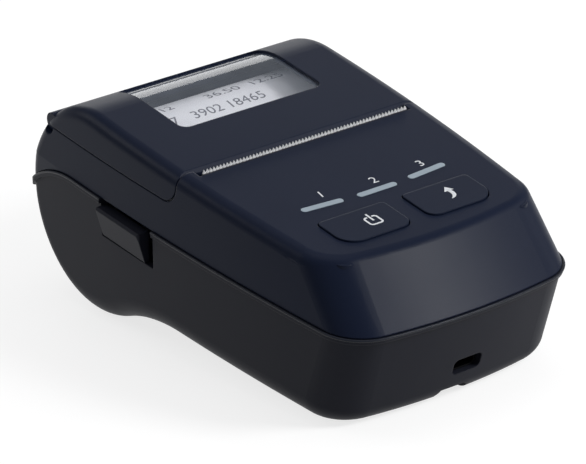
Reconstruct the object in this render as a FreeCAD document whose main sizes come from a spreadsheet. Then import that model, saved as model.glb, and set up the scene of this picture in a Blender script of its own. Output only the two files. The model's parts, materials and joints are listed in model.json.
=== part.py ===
"""Portable receipt printer for 58 mm thermal paper, modelled as it comes apart on a bench.

Working frame while modelling: X runs across the machine, Y from the front (minus) to the
rear (plus) with zero at the tear line, Z up with zero on the belt seam of the two cases.
At the end every piece is tilted together, so that the machine stands on its drum-shaped
rear belly and the edge under its nose, with the origin under the middle of its box.
"""
import FreeCAD, Part
import Sketcher
import math
import os

Vector = FreeCAD.Vector

SIZES = {
    # plan outline at the belt seam
    "belt_half": 37.75, "widest_at": 30.0, "side_bow": 815.0, "front_reach": 64.9,
    "front_bow": 155.0, "front_corner": 11.6, "rear_reach": 65.95,
    # plan outline at the crown level above the belt
    "crown_level": 20.0, "crown_half": 35.8, "crown_side_bow": 625.0,
    "crown_inset": 17.4, "crown_front_bow": 135.0, "crown_corner": 12.3,
    # plan outline at the keel level below the belt
    "keel_spare": 3.0, "keel_half": 37.2, "keel_side_bow": 815.0,
    "keel_inset": 11.0, "keel_front_bow": 150.0, "keel_corner": 13.2,
    # side profile
    "tear_height": 17.05, "crown_angle": 2.58, "drum_radius": 26.2, "belly_radius": 26.2,
    "rear_flat": 1.4145, "flat_depth": 26.4, "waist_radius": 56.0,
    "seam_dip_inset": 20.95, "seam_dip_radius": 30.0,
    # walls, edges and gaps of the mouldings
    "wall": 2.0, "crest_fillet": 3.5, "keel_fillet": 6.0,
    "foot_bite": 0.6, "lip_proud": 0.6, "lip_height": 1.3, "seam_gap": 0.2, "cover_gap": 0.3,
    # paper cover and its hinge
    "skirt_level": 9.6, "cover_front": 3.1, "cover_corner": 4.5, "cover_bevel": 0.9,
    "hinge_sunk": 1.25, "hinge_level": 9.6, "barrel_radius": 2.4, "barrel_half": 35.0,
    "lug_inner": 12.0, "lug_outer": 18.0, "pin_radius": 1.0, "pin_half": 24.0,
    "running_gap": 0.05,
    # window in the cover
    "window_half": 20.8, "window_front": 21.7, "window_inset": 14.45, "window_corner": 2.5,
    "window_sunk": 0.7, "flange_width": 2.4, "flange_thick": 1.1, "glue_gap": 0.05,
    # paper slot and tear bar
    "slot_half": 31.0, "tear_half": 30.0, "bar_thick": 0.5, "bar_depth": 4.4,
    "bar_foot": 4.0, "tooth_height": 1.1, "tooth_count": 63,
    # panel keys and indicator bars
    "key_inner": 2.6, "key_outer": 21.6, "key_rear_inset": 31.3,
    "key_front_inset": 19.3, "key_corner": 1.2, "key_inner_round": 3.0, "key_outer_round": 5.0,
    "key_gap": 0.25, "key_proud": 0.35,
    "key_thick": 2.2,
    "lens_half": 5.6, "lens_width": 1.8, "lens_pitch": 15.2, "lens_inset": 37.0, "lens_bow": 0.9,
    "lens_tilt": 5.0, "lens_gap": 0.05, "lens_depth": 3.0,
    # print mechanism
    "platen_y": 8.3, "platen_z": 7.5, "platen_radius": 5.0, "rubber_half": 28.9,
    "shaft_radius": 1.5, "ear_inner": 29.2, "ear_thick": 1.0, "ear_radius": 3.4,
    "bush_radius": 2.4, "bracket_level": 13.9, "bracket_thick": 1.0, "bracket_rear": 16.0,
    "gear_start": 30.6, "gear_width": 1.4, "gear_module": 0.4, "mesh_gap": 0.06,
    "platen_teeth": 24, "idler_teeth": 32, "pinion_teeth": 12,
    "pinion_lead": 5.28, "post_radius": 0.8, "motor_gap": 0.63, "motor_length": 13.0,
    "motor_shaft_radius": 0.75,
    "frame_half": 28.3, "frame_wall": 1.8, "frame_front": 10.0, "frame_rear": 15.4,
    "frame_lift": 5.9, "frame_base": 1.5, "frame_top": 12.5, "frame_low": 1.4, "shelf_level": 0.5,
    "shelf_thick": 1.6,
    "head_half": 26.0, "nip_gap": 0.75, "head_thick": 0.8, "sink_thick": 3.0,
    "sink_top": 12.0,
    "head_bottom": 1.3, "head_top": 8.9, "spring_thick": 0.4, "spring_half": 15.0,
    # paper and its bin
    "paper_half": 28.75, "roll_play": 0.6, "core_radius": 8.5, "core_wall": 1.5,
    "web_thick": 0.2, "paper_gap": 0.3, "bin_gap": 0.9, "bin_clear": 1.05, "bin_wall": 1.4,
    "bin_inner": 29.1, "cheek_wall": 1.0, "lip_clear": 1.25, "bin_rear_angle": 25.0,
    "exit_y": 2.1, "exit_z": 16.4,
    # boards, battery and their seats
    "board_thick": 1.6, "main_level": 4.0, "main_half": 31.0, "main_inset": 20.3,
    "main_rear": 21.2, "post_x": 28.6, "post_inset": 3.0, "boss_radius": 2.2,
    "battery_half": 20.5, "battery_inset": 20.7, "battery_rear": 17.0,
    "battery_lift": 2.8, "battery_top": 9.5, "battery_corner": 2.0,
    "usb_x": 2.3, "usb_lift": 9.5, "usb_half": 3.85, "usb_tall": 3.9, "usb_long": 8.8,
    "usb_sunk": 2.2, "usb_wall": 0.35, "charge_left": 12.0, "charge_right": 17.0,
    "charge_rear_inset": 18.1, "charge_front_inset": 11.6,
    "key_board_level": 8.4, "key_board_half": 26.5,
    "key_board_rear_inset": 40.9, "key_board_front_inset": 19.7, "switch_side": 6.0, "switch_tall": 2.0,
    "plunger_radius": 1.6, "press_gap": 0.6,
    # case screws
    "screw_x_front": 25.0, "screw_front_inset": 16.3, "screw_x_mid": 29.4, "screw_y_mid": 16.6,
    "screw_radius": 1.0, "screw_head": 1.9, "head_tall": 1.4, "screw_seat": 8.0,
    "screw_bite": 7.0, "column_radius": 3.2, "column_wall": 0.9, "thread_gap": 0.04,
    # battery door
    "door_half": 21.3, "door_inset": 18.5, "door_rear": 12.0, "door_thick": 2.0,
    "door_corner": 3.0, "door_gap": 0.25, "tab_half": 4.0, "tab_reach": 2.4, "tab_thick": 1.0,
    "notch_half": 4.7, "notch_x": 0.0, "notch_rise": 3.4, "tongue_reach": 4.6,
    # cover release levers
    "pad_front": 14.2, "pad_rear": 32.3, "pad_top": 1.9, "pad_bottom": 9.9,
    "pad_proud": 1.8, "pad_flush": 0.2, "pad_gap": 0.3, "finger_gap": 3.4,
    "pivot_x": 34.2, "pivot_y": 30.6,
    "knuckle_radius": 2.0, "pivot_radius": 0.8, "arm_rear": 19.4, "arm_front": 16.2,
    "arm_inner": 31.6, "arm_thick": 0.9, "hook_level": 12.0, "catch_reach": 1.0,
}

doc = FreeCAD.newDocument("receipt_printer")
sheet = doc.addObject("Spreadsheet::Sheet", "dims")
for row, (alias, number) in enumerate(SIZES.items(), start=1):
    sheet.set("A%d" % row, alias)
    sheet.set("B%d" % row, str(number))
    sheet.setAlias("B%d" % row, alias)
doc.recompute()


class Size:
    """A length, angle or count with the expression that ties it to the sheet."""

    def __init__(self, value, text):
        self.value = value
        self.text = text

    def __add__(self, other):
        other = size(other)
        return Size(self.value + other.value, "(%s + %s)" % (self.text, other.text))

    def __sub__(self, other):
        other = size(other)
        return Size(self.value - other.value, "(%s - %s)" % (self.text, other.text))

    def __mul__(self, other):
        other = size(other)
        return Size(self.value * other.value, "(%s * %s)" % (self.text, other.text))

    def __truediv__(self, other):
        other = size(other)
        return Size(self.value / other.value, "(%s / %s)" % (self.text, other.text))

    def __radd__(self, other):
        return size(other) + self

    def __rsub__(self, other):
        return size(other) - self

    def __rmul__(self, other):
        return size(other) * self

    def __neg__(self):
        return size(0.0) - self


def size(number):
    return number if isinstance(number, Size) else Size(float(number), "(%r)" % float(number))


def root(square):
    return Size(math.sqrt(square.value), "sqrt(%s)" % square.text)


def smaller(one, other):
    return Size(min(one.value, other.value), "min(%s; %s)" % (one.text, other.text))


def sine(angle):
    return Size(math.sin(math.radians(angle.value)), "sin(%s * 1 deg)" % angle.text)


def cosine(angle):
    return Size(math.cos(math.radians(angle.value)), "cos(%s * 1 deg)" % angle.text)


class Dims:
    """Driving dimensions by name, each read from its cell of the sheet."""

    def __getattr__(self, alias):
        return Size(float(sheet.get(alias)), "dims.%s" % alias)


d = Dims()
nodes = []
ACROSS = {
    "X": FreeCAD.Rotation(Vector(0, 1, 0), Vector(0, 0, 1), Vector(1, 0, 0), "ZXY"),
    "Y": FreeCAD.Rotation(Vector(1, 0, 0), Vector(0, 0, 1), Vector(0, -1, 0), "ZXY"),
    "Z": FreeCAD.Rotation(),
}
ALONG = {"X": Vector(1, 0, 0), "Y": Vector(0, 1, 0), "Z": Vector(0, 0, 1)}


def bind(thing, path, number):
    thing.setExpression(path, size(number).text)


def arc_between(start, end, radius):
    """Circle arc from start to end, counter-clockwise for a positive radius."""
    chord = end - start
    half = chord.Length / 2.0
    left = Vector(-chord.y, chord.x, 0).normalize()
    rise = math.sqrt(max(radius * radius - half * half, 0.0))
    centre = (start + end) * 0.5 + left * (rise if radius > 0 else -rise)
    first, last = (start, end) if radius > 0 else (end, start)
    angles = [math.atan2(p.y - centre.y, p.x - centre.x) for p in (first, last)]
    if angles[1] < angles[0]:
        angles[1] += 2.0 * math.pi
    circle = Part.Circle(centre, Vector(0, 0, 1), abs(radius))
    return Part.ArcOfCircle(circle, angles[0], angles[1])


def draw(sketch, loops):
    """Draw closed loops, every corner and radius tied to the sheet.

    A loop is a list of corners (x, y) or (x, y, r): r is the radius of the arc that runs
    on to the next corner, positive when it turns left. A circle is ("circle", x, y, r).
    """
    shapes, rules, drives = [], [], []

    def drive(kind, number, *where):
        rules.append(Sketcher.Constraint(kind, *where, number.value))
        drives.append((len(rules) - 1, number))

    def pin_down(edge, end, x, y):
        drive("DistanceX", size(x), -1, 1, edge, end)
        drive("DistanceY", size(y), -1, 1, edge, end)

    for loop in loops:
        base = len(shapes)
        if loop[0] == "circle":
            x, y, radius = (size(number) for number in loop[1:])
            centre = Vector(x.value, y.value, 0)
            shapes.append(Part.Circle(centre, Vector(0, 0, 1), radius.value))
            pin_down(base, 3, x, y)
            drive("Radius", radius, base)
            continue
        ends = []
        corners = [Vector(size(c[0]).value, size(c[1]).value, 0) for c in loop]
        for i, corner in enumerate(loop):
            start, end = corners[i], corners[(i + 1) % len(loop)]
            bend = size(corner[2]) if len(corner) > 2 else None
            if bend is None:
                shapes.append(Part.LineSegment(start, end))
            else:
                shapes.append(arc_between(start, end, bend.value))
                drive("Radius", bend if bend.value > 0 else -bend, base + i)
            ends.append((2, 1) if bend is not None and bend.value < 0 else (1, 2))
        for i, corner in enumerate(loop):
            after = (i + 1) % len(loop)
            rules.append(Sketcher.Constraint("Coincident", base + i, ends[i][1],
                                             base + after, ends[after][0]))
            pin_down(base + i, ends[i][0], corner[0], corner[1])
    sketch.addGeometry(shapes, False)
    sketch.addConstraint(rules)
    for index, number in drives:
        bind(sketch, "Constraints[%d]" % index, number)


def flat_sketch(name, axis, level):
    """Free sketch square to an axis, at a level along it."""
    sketch = doc.addObject("Sketcher::SketchObject", name)
    sketch.Placement = FreeCAD.Placement(Vector(), ACROSS[axis])
    bind(sketch, "Placement.Base.%s" % axis.lower(), level)
    return sketch


def prism(name, axis, start, end, *loops):
    """Solid of the given outline between two levels along an axis."""
    sketch = flat_sketch(name + "_outline", axis, start)
    draw(sketch, loops)
    solid = doc.addObject("Part::Extrusion", name)
    solid.Base = sketch
    solid.DirMode = "Custom"
    solid.Dir = ALONG[axis]
    solid.Solid = True
    bind(solid, "LengthFwd", size(end) - start)
    return solid


def rectangle(x0, x1, y0, y1):
    return [(x0, y0), (x1, y0), (x1, y1), (x0, y1)]


def soft_rectangle(x0, x1, y0, y1, r):
    return [(x0 + r, y0), (x1 - r, y0, r), (x1, y0 + r), (x1, y1 - r, r),
            (x1 - r, y1), (x0 + r, y1, r), (x0, y1 - r), (x0, y0 + r, r)]


def fuse(name, *solids):
    joined = doc.addObject("Part::MultiFuse", name)
    joined.Shapes = list(solids)
    joined.Refine = True
    return joined


def cut(name, base, *tools):
    left = doc.addObject("Part::Cut", name)
    left.Base = base
    left.Tool = tools[0] if len(tools) == 1 else fuse(name + "_tools", *tools)
    left.Refine = True
    return left


def common(name, *solids):
    shared = doc.addObject("Part::MultiCommon", name)
    shared.Shapes = list(solids)
    shared.Refine = True
    return shared


def node(label, solid):
    """Keep a finished sub-part under the name of its node."""
    solid.Label = label
    nodes.append(solid)
    return solid


# Outer and inner forms of the housing

FAR = 95.0


def plan(name, level, half, bow, front, front_bow, corner):
    """Bowed plan outline, open far behind the drum that closes the rear."""
    sketch = flat_sketch(name, "Z", level)
    side = Vector(half.value - bow.value, d.widest_at.value, 0)
    nose = Vector(0, front_bow.value - front.value, 0)
    reach_side = bow.value - corner.value
    reach_nose = front_bow.value - corner.value
    span = (nose - side).Length
    along = (reach_side ** 2 - reach_nose ** 2 + span ** 2) / (2.0 * span)
    aside = math.sqrt(reach_side ** 2 - along ** 2)
    run = (nose - side) * (1.0 / span)
    foot, across = side + run * along, Vector(-run.y, run.x, 0) * aside
    turn = foot + across if across.y < 0 else foot - across
    to_side = (turn - side).normalize()
    to_nose = (turn - nose).normalize()
    on_side, on_nose = side + to_side * bow.value, nose + to_nose * front_bow.value
    back_x = side.x + math.sqrt(bow.value ** 2 - (FAR - side.y) ** 2)

    def arc(centre, radius, first, last):
        start = math.atan2(first.y - centre.y, first.x - centre.x)
        stop = math.atan2(last.y - centre.y, last.x - centre.x)
        if stop < start:
            stop += 2.0 * math.pi
        return Part.ArcOfCircle(Part.Circle(centre, Vector(0, 0, 1), radius), start, stop)

    def other(point):
        return Vector(-point.x, point.y, 0)

    back = Vector(back_x, FAR, 0)
    sketch.addGeometry([
        arc(nose, front_bow.value, other(on_nose), on_nose),
        arc(turn, corner.value, on_nose, on_side),
        arc(side, bow.value, on_side, back),
        Part.LineSegment(back, other(back)),
        arc(other(side), bow.value, other(back), other(on_side)),
        arc(other(turn), corner.value, other(on_side), other(on_nose))], False)
    rules = [Sketcher.Constraint("Tangent", 0, 2, 1, 1), Sketcher.Constraint("Tangent", 1, 2, 2, 1),
             Sketcher.Constraint("Coincident", 2, 2, 3, 1), Sketcher.Constraint("Coincident", 3, 2, 4, 1),
             Sketcher.Constraint("Tangent", 4, 2, 5, 1), Sketcher.Constraint("Tangent", 5, 2, 0, 1),
             Sketcher.Constraint("PointOnObject", 0, 3, -2), Sketcher.Constraint("Horizontal", 3)]
    drives = [("Radius", front_bow, 0), ("Radius", corner, 1), ("Radius", bow, 2),
              ("Radius", bow, 4), ("Radius", corner, 5),
              ("DistanceY", front_bow - front, -1, 1, 0, 3),
              ("DistanceX", half - bow, -1, 1, 2, 3), ("DistanceY", d.widest_at, -1, 1, 2, 3),
              ("DistanceX", bow - half, -1, 1, 4, 3), ("DistanceY", d.widest_at, -1, 1, 4, 3),
              ("DistanceY", size(FAR), -1, 1, 3, 1)]
    for kind, number, *where in drives:
        rules.append(Sketcher.Constraint(kind, *where, number.value))
    sketch.addConstraint(rules)
    for i, (kind, number, *where) in enumerate(drives, start=len(rules) - len(drives)):
        bind(sketch, "Constraints[%d]" % i, number)
    return sketch


# centres of the round stretches of the side profile, and the slope of the crown
slope = sine(d.crown_angle) / cosine(d.crown_angle)
drum_y = d.rear_reach - d.drum_radius
drum_z = d.tear_height + slope * drum_y - d.drum_radius / cosine(d.crown_angle)
belly_y = d.rear_reach - d.belly_radius
belly_z = drum_z - d.rear_flat
belly_low = belly_z - d.belly_radius
keel_level = d.keel_spare - belly_low
waist_z = -(d.flat_depth + d.waist_radius)
waist_span = d.belly_radius + d.waist_radius
waist_drop = belly_z - waist_z
waist_y = belly_y - root(waist_span * waist_span - waist_drop * waist_drop)
hinge_reach = d.drum_radius - d.hinge_sunk
hinge_z = d.hinge_level
hinge_y = drum_y + root(hinge_reach * hinge_reach - (hinge_z - drum_z) * (hinge_z - drum_z))

# stations measured back from the nose, and in from the rear
crown_front = d.front_reach - d.crown_inset
keel_front = d.front_reach - d.keel_inset
key_front = d.front_reach - d.key_front_inset
key_rear = d.front_reach - d.key_rear_inset
key_board_front = d.front_reach - d.key_board_front_inset
key_board_rear = d.front_reach - d.key_board_rear_inset
lens_line = d.front_reach - d.lens_inset
main_front = d.front_reach - d.main_inset
battery_front = d.front_reach - d.battery_inset
charge_front = d.front_reach - d.charge_front_inset
charge_rear = d.front_reach - d.charge_rear_inset
screw_y_front = d.front_reach - d.screw_front_inset
door_front = d.front_reach - d.door_inset
window_rear = d.rear_reach - d.window_inset
seam_dip_start = d.rear_reach - d.seam_dip_inset

# levels measured up from the flat underside
frame_floor = d.flat_depth - d.frame_lift
battery_bottom = d.flat_depth - d.battery_lift
usb_z = d.flat_depth - d.usb_lift

# the bin fills the room behind the print mechanism as far as the belly lets it
rear_inside = d.rear_reach - d.wall - d.bin_gap
bin_room = (rear_inside - d.frame_rear - d.bin_clear) / 2.0
bin_out = smaller(d.belly_radius - d.wall - d.bin_gap, bin_room)
bin_y = rear_inside - bin_out
bin_in = bin_out - d.bin_wall
roll_radius = bin_in - d.roll_play


def crown_at(y):
    """Height of the top surface at a station along the machine."""
    return d.tear_height + slope * y


def side_loop(inset):
    """Side profile of the machine, drawn in by an inset."""
    drum, belly, waist = d.drum_radius - inset, d.belly_radius - inset, d.waist_radius + inset
    top = inset / cosine(d.crown_angle)
    share = d.belly_radius / waist_span
    toward_y, toward_z = waist_y - belly_y, waist_z - belly_z
    step = belly / d.belly_radius * share
    return [(-FAR, crown_at(size(-FAR)) - top), (-FAR, inset - d.flat_depth),
            (waist_y, inset - d.flat_depth, -waist),
            (belly_y + toward_y * step, belly_z + toward_z * step, belly),
            (d.rear_reach - inset, belly_z), (d.rear_reach - inset, drum_z, drum),
            (drum_y - drum * sine(d.crown_angle), drum_z + drum * cosine(d.crown_angle))]


def side_prism(name, inset):
    return prism(name, "X", -FAR, FAR, side_loop(size(inset)))


def loft(name, *sections):
    solid = doc.addObject("Part::Loft", name)
    solid.Sections = list(sections)
    solid.Solid = True
    solid.Ruled = True
    return solid


def rounded_edges(solid, radius_of):
    """Round the edges between the side profile and the bowed plan faces."""
    doc.recompute()
    shape = solid.Shape
    owners = {}
    for face in shape.Faces:
        across = isinstance(face.Surface, Part.Cylinder) and abs(face.Surface.Axis.x) > 0.99
        level = isinstance(face.Surface, Part.Plane) and abs(face.Surface.Axis.x) < 0.01
        for edge in face.Edges:
            owners.setdefault(edge.hashCode(), []).append(across or level)
    chosen = []
    for index, edge in enumerate(shape.Edges, start=1):
        if sorted(owners[edge.hashCode()]) == [False, True]:
            ends = [v.Point for v in edge.Vertexes]
            radii = radius_of(edge.CenterOfMass, ends)
            if radii:
                chosen.append((index, radii[0], radii[1]))
    rounded = doc.addObject("Part::Fillet", solid.Name + "_rounded")
    rounded.Base = solid
    rounded.Edges = chosen
    return rounded


def hull(name, inset, rounded):
    """Whole closed form of the machine, drawn in by an inset."""
    t = size(inset)
    belt = plan(name + "_belt", 0.0, d.belt_half - t, d.side_bow - t, d.front_reach - t,
                d.front_bow - t, d.front_corner - t)
    crown = plan(name + "_crown", d.crown_level, d.crown_half - t, d.crown_side_bow - t,
                 crown_front - t, d.crown_front_bow - t, d.crown_corner - t)
    keel = plan(name + "_keel", -keel_level, d.keel_half - t, d.keel_side_bow - t,
                keel_front - t, d.keel_front_bow - t, d.keel_corner - t)
    profile = side_prism(name + "_profile", t)
    upper = common(name + "_upper", loft(name + "_upper_loft", belt, crown), profile)
    lower = common(name + "_lower", loft(name + "_lower_loft", keel, belt), profile)
    if rounded:
        crest, keel_r = d.crest_fillet.value, d.keel_fillet.value
        drum_low, belly_start = belly_z.value, belly_y.value - 8.0

        def over(middle, ends):
            return (crest, crest) if middle.z > 0.1 else None

        def under(middle, ends):
            if middle.z > -0.1:
                return None
            if middle.z > drum_low:
                return crest, crest
            if middle.y < belly_start:
                return keel_r, keel_r
            return (keel_r, crest) if ends[0].y < ends[1].y else (crest, keel_r)

        upper, lower = rounded_edges(upper, over), rounded_edges(lower, under)
    return fuse(name, upper, lower)


outer = hull("outer", 0.0, True)
inner = hull("inner", d.wall, False)
lip_form = hull("lip_form", -d.lip_proud, True)
shell = cut("shell", outer, inner)


def seam_end(rise):
    """Where the dipping seam leaves the rear of the machine."""
    reach = d.seam_dip_radius + rise
    low = size(8.0)
    return seam_dip_start + reach * cosine(low), reach * sine(low) - d.seam_dip_radius


def below_seam(name, rise):
    end_y, end_z = seam_end(rise)
    return prism(name, "X", -FAR, FAR, [
        (-FAR, -FAR), (FAR, -FAR), (FAR, end_z), (end_y, end_z, d.seam_dip_radius + rise),
        (seam_dip_start, rise), (-FAR, rise)])


def above_seam(name, rise):
    end_y, end_z = seam_end(rise)
    return prism(name, "X", -FAR, FAR, [
        (-FAR, rise), (seam_dip_start, rise, -(d.seam_dip_radius + rise)), (end_y, end_z),
        (FAR, end_z), (FAR, FAR), (-FAR, FAR)])


def cover_zone(name, grow, bevel=None):
    """Region of the paper cover in the side view, from its front edge to the rear."""
    front, level, bend = d.cover_front - grow, d.skirt_level - grow, d.cover_corner
    edge = [(front, FAR)]
    if bevel is not None:
        crest = crown_at(front + bevel)
        edge = [(front + bevel, FAR), (front + bevel, crest), (front, crest - bevel)]
    return prism(name, "X", -FAR, FAR, edge + [
        (front, level + bend, bend), (front + bend, level), (FAR, level), (FAR, FAR)])


def rod(name, axis, start, end, a, b, radius, bore=None):
    """Round bar along an axis, with an optional bore."""
    loops = [("circle", a, b, radius)]
    if bore is not None:
        loops.append(("circle", a, b, bore))
    return prism(name, axis, start, end, *loops)


def rods(name, axis, start, end, spots, radius):
    return prism(name, axis, start, end, *[("circle", a, b, radius) for a, b in spots])


def both_sides(x, y):
    return [(-x, y), (size(0.0) + x, y)]


def crown_band(name, above, below):
    """Slab that follows the slope of the panel, above and below its surface."""
    lead = size(-FAR)
    return prism(name, "X", -FAR, FAR, [
        (lead, crown_at(lead) - below), (size(0.0), crown_at(size(0.0)) - below),
        (size(0.0), crown_at(size(0.0)) + above), (lead, crown_at(lead) + above)])


def rounded_uprights(solid, radius_at):
    """Round the upright edges of a prism, each by the radius for its place."""
    doc.recompute()
    chosen = []
    for index, edge in enumerate(solid.Shape.Edges, start=1):
        ends = [v.Point for v in edge.Vertexes]
        if len(ends) == 2 and abs(ends[0].x - ends[1].x) + abs(ends[0].y - ends[1].y) < 1e-6:
            radius = radius_at(ends[0].x, ends[0].y).value
            chosen.append((index, radius, radius))
    rounded = doc.addObject("Part::Fillet", solid.Name + "_rounded")
    rounded.Base = solid
    rounded.Edges = chosen
    return rounded


# Lower case: shell below the seam, proud lip, columns, posts and the openings in it

floor = d.wall - d.flat_depth
front_screws = both_sides(d.screw_x_front, -screw_y_front)
mid_screws = both_sides(d.screw_x_mid, -d.screw_y_mid)
case_screw_spots = front_screws + mid_screws
main_post_spots = (both_sides(d.post_x, d.post_inset - main_front)
                   + both_sides(d.post_x, -d.main_rear - d.post_inset))
mech_spots = both_sides(size(22.0), 4.0 - d.frame_front) + both_sides(size(22.0), d.frame_rear - 4.0)
charge_spots = [(4.0 - d.charge_left, -charge_front + 3.0), (d.charge_right - 4.0, -charge_front + 3.0)]
charge_top = -usb_z - d.usb_tall / 2.0

half_gap = d.seam_gap / 2.0
lower_skin = common("lower_skin", shell, below_seam("lower_zone", -half_gap))
lip_zone = cut("lip_zone", below_seam("lip_over", -half_gap),
               below_seam("lip_under", -half_gap - d.lip_height))
lip = common("lip", cut("lip_wall", lip_form, inner), lip_zone)
columns = rods("lower_columns", "Z", belly_low, -half_gap, case_screw_spots, d.column_radius)
main_posts = rods("main_posts", "Z", belly_low, -d.main_level, main_post_spots, d.boss_radius)
mech_posts = rods("mech_posts", "Z", belly_low, -frame_floor, mech_spots, d.boss_radius)
charge_posts = rods("charge_posts", "Z", belly_low, charge_top - d.board_thick, charge_spots, d.boss_radius)
tray_gap, tray_wall = size(0.4), size(1.1)
tray_x, tray_front = d.battery_half + tray_gap, -battery_front - tray_gap
tray_rear = tray_gap - d.battery_rear
tray = prism("battery_tray", "Z", belly_low, -d.battery_top - 4.0,
             soft_rectangle(-tray_x - tray_wall, tray_x + tray_wall, tray_front - tray_wall,
                            tray_rear + tray_wall, d.battery_corner + tray_wall),
             soft_rectangle(-tray_x, tray_x, tray_front, tray_rear, d.battery_corner))


def belly_rib(name, x):
    """Rib from the belly up to the paper bin that it carries."""
    low, sweep = size(225.0), size(315.0)
    near, far = bin_out + d.glue_gap, bin_out + d.belly_radius
    return prism(name, "X", x - 0.6, x + 0.6, [
        (bin_y + near * cosine(sweep), belly_z + near * sine(sweep), -near),
        (bin_y + near * cosine(low), belly_z + near * sine(low)),
        (bin_y + far * cosine(low), belly_z + far * sine(low), far),
        (bin_y + far * cosine(sweep), belly_z + far * sine(sweep))])


ribs = [belly_rib("belly_rib_%d" % i, x) for i, x in enumerate((d.paper_half * -0.7, d.paper_half * 0.7))]
shelf_top = -d.pad_bottom - d.pad_gap
shelves = [prism("pivot_shelf_%d" % side, "Z", shelf_top - 1.5, shelf_top,
                 rectangle(side * d.pivot_x - 2.0, side * d.pivot_x + 2.0,
                           d.pivot_y - 2.4, d.pivot_y + 2.4))
           for side in (-1, 1)]
risers = common("risers", fuse("riser_blanks", columns, main_posts, mech_posts, charge_posts, tray, *ribs),
                side_prism("riser_feet", d.wall - d.foot_bite))
lower_solid = fuse("lower_solid", lower_skin, lip, risers, *shelves)

cups = rods("screw_cups", "Z", -FAR, -d.screw_seat, case_screw_spots, d.column_radius - d.column_wall)
clear_holes = rods("screw_clearance", "Z", -FAR, FAR, case_screw_spots, d.screw_radius + 0.3)
pilot = d.screw_radius + d.thread_gap
main_pilots = rods("main_pilots", "Z", -d.main_level - 5.0, FAR, main_post_spots, pilot)
mech_pilots = rods("mech_pilots", "Z", -frame_floor - 3.4, FAR, mech_spots, pilot)
charge_pilots = rods("charge_pilots", "Z", charge_top - d.board_thick - 1.9, FAR, charge_spots, pilot)
pivot_holes = rods("pivot_holes", "Z", shelf_top - 1.6, FAR, both_sides(d.pivot_x, d.pivot_y),
                   d.pivot_radius + 0.02)
door_hole = prism("door_hole", "Z", -FAR, floor + 0.1,
                  soft_rectangle(-d.door_half - d.door_gap, d.door_half + d.door_gap,
                                 -door_front - d.door_gap, d.door_gap - d.door_rear,
                                 d.door_corner + d.door_gap))
tab_slots = [prism("tab_slot_%d" % side, "Z", floor - 0.05, floor + 2.6,
                   rectangle(side * d.door_half * 0.6 - d.tab_half - 0.4,
                             side * d.door_half * 0.6 + d.tab_half + 0.4,
                             -d.door_rear - 1.8, d.tab_reach - d.door_rear + 1.6))
             for side in (-1, 1)]
notch = prism("finger_notch", "Y", -FAR, -door_front,
              [(d.notch_x - d.notch_half, -FAR), (d.notch_x + d.notch_half, -FAR),
               (d.notch_x + d.notch_half, d.notch_rise * 0.5 - d.flat_depth),
               (d.notch_x + d.notch_half - 1.0, d.notch_rise - d.flat_depth),
               (d.notch_x - d.notch_half + 1.0, d.notch_rise - d.flat_depth),
               (d.notch_x - d.notch_half, d.notch_rise * 0.5 - d.flat_depth)])
usb_hole = prism("usb_hole", "Y", -FAR, -charge_rear,
                 soft_rectangle(d.usb_x - d.usb_half - 0.25, d.usb_x + d.usb_half + 0.25,
                                -usb_z - d.usb_tall / 2.0 - 0.25,
                                d.usb_tall / 2.0 - usb_z + 0.25, size(1.4)))
pad_windows = [prism("pad_window_%d" % side, "X", a, b,
                     rectangle(d.pad_front - d.finger_gap, d.pad_rear + d.pad_gap, shelf_top, size(3.0)))
               for side, a, b in ((-1, size(-FAR), 1.6 - d.pivot_x), (1, d.pivot_x - 1.6, size(FAR)))]
lower_case = node("lower_case", cut("lower_case", lower_solid, cups, clear_holes, main_pilots, mech_pilots,
                                    charge_pilots, pivot_holes, door_hole, *tab_slots, notch, usb_hole,
                                    *pad_windows))

# Paper cover: rear top of the shell with its hinge barrel, catches and screw bosses

barrel = rod("cover_barrel", "X", -d.barrel_half, d.barrel_half, hinge_y, hinge_z, d.barrel_radius)
cover_skin = common("cover_skin", shell, cover_zone("cover_inside", size(0.0), d.cover_bevel))
bracket_top = d.bracket_level + d.bracket_thick
bracket_spots = both_sides(d.window_half - 2.0, d.bracket_rear - 4.5)
cover_bosses = rods("cover_bosses", "Z", bracket_top, crown_at(d.platen_y) - 0.8, bracket_spots,
                    d.boss_radius)
guide = prism("paper_guide", "X", -d.rubber_half, d.rubber_half,
              [(d.cover_front, d.bracket_level - 0.8), (d.cover_front + 1.2, d.bracket_level - 0.8),
               (d.cover_front + 1.2, crown_at(d.cover_front) - 1.0),
               (d.cover_front, crown_at(d.cover_front) - 1.0)])
cover_solid = fuse("cover_solid", cover_skin, barrel, cover_bosses, guide)
lug_rooms = [rod("lug_room_%d" % side, "X", a, b, hinge_y, hinge_z, d.barrel_radius + d.cover_gap)
             for side, a, b in ((-1, -d.lug_outer - d.cover_gap, d.cover_gap - d.lug_inner),
                                (1, d.lug_inner - d.cover_gap, d.lug_outer + d.cover_gap))]
cover_bore = rod("cover_bore", "X", -d.pin_half - 0.5, FAR, hinge_y, hinge_z, d.pin_radius + d.running_gap)
window_hole = prism("window_hole", "Z", size(0.0), size(FAR),
                    soft_rectangle(-d.window_half, d.window_half, d.window_front, window_rear,
                                   d.window_corner))
bracket_pilots = rods("bracket_pilots", "Z", size(0.0), crown_at(d.platen_y) - 1.0, bracket_spots,
                      d.screw_radius * 0.8 + d.thread_gap)
paper_cover = node("paper_cover", cut("paper_cover", cover_solid, *lug_rooms, cover_bore, window_hole,
                                      bracket_pilots))

# Window: pane sunk in the opening and a flange glued behind it, both following the profile

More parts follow.
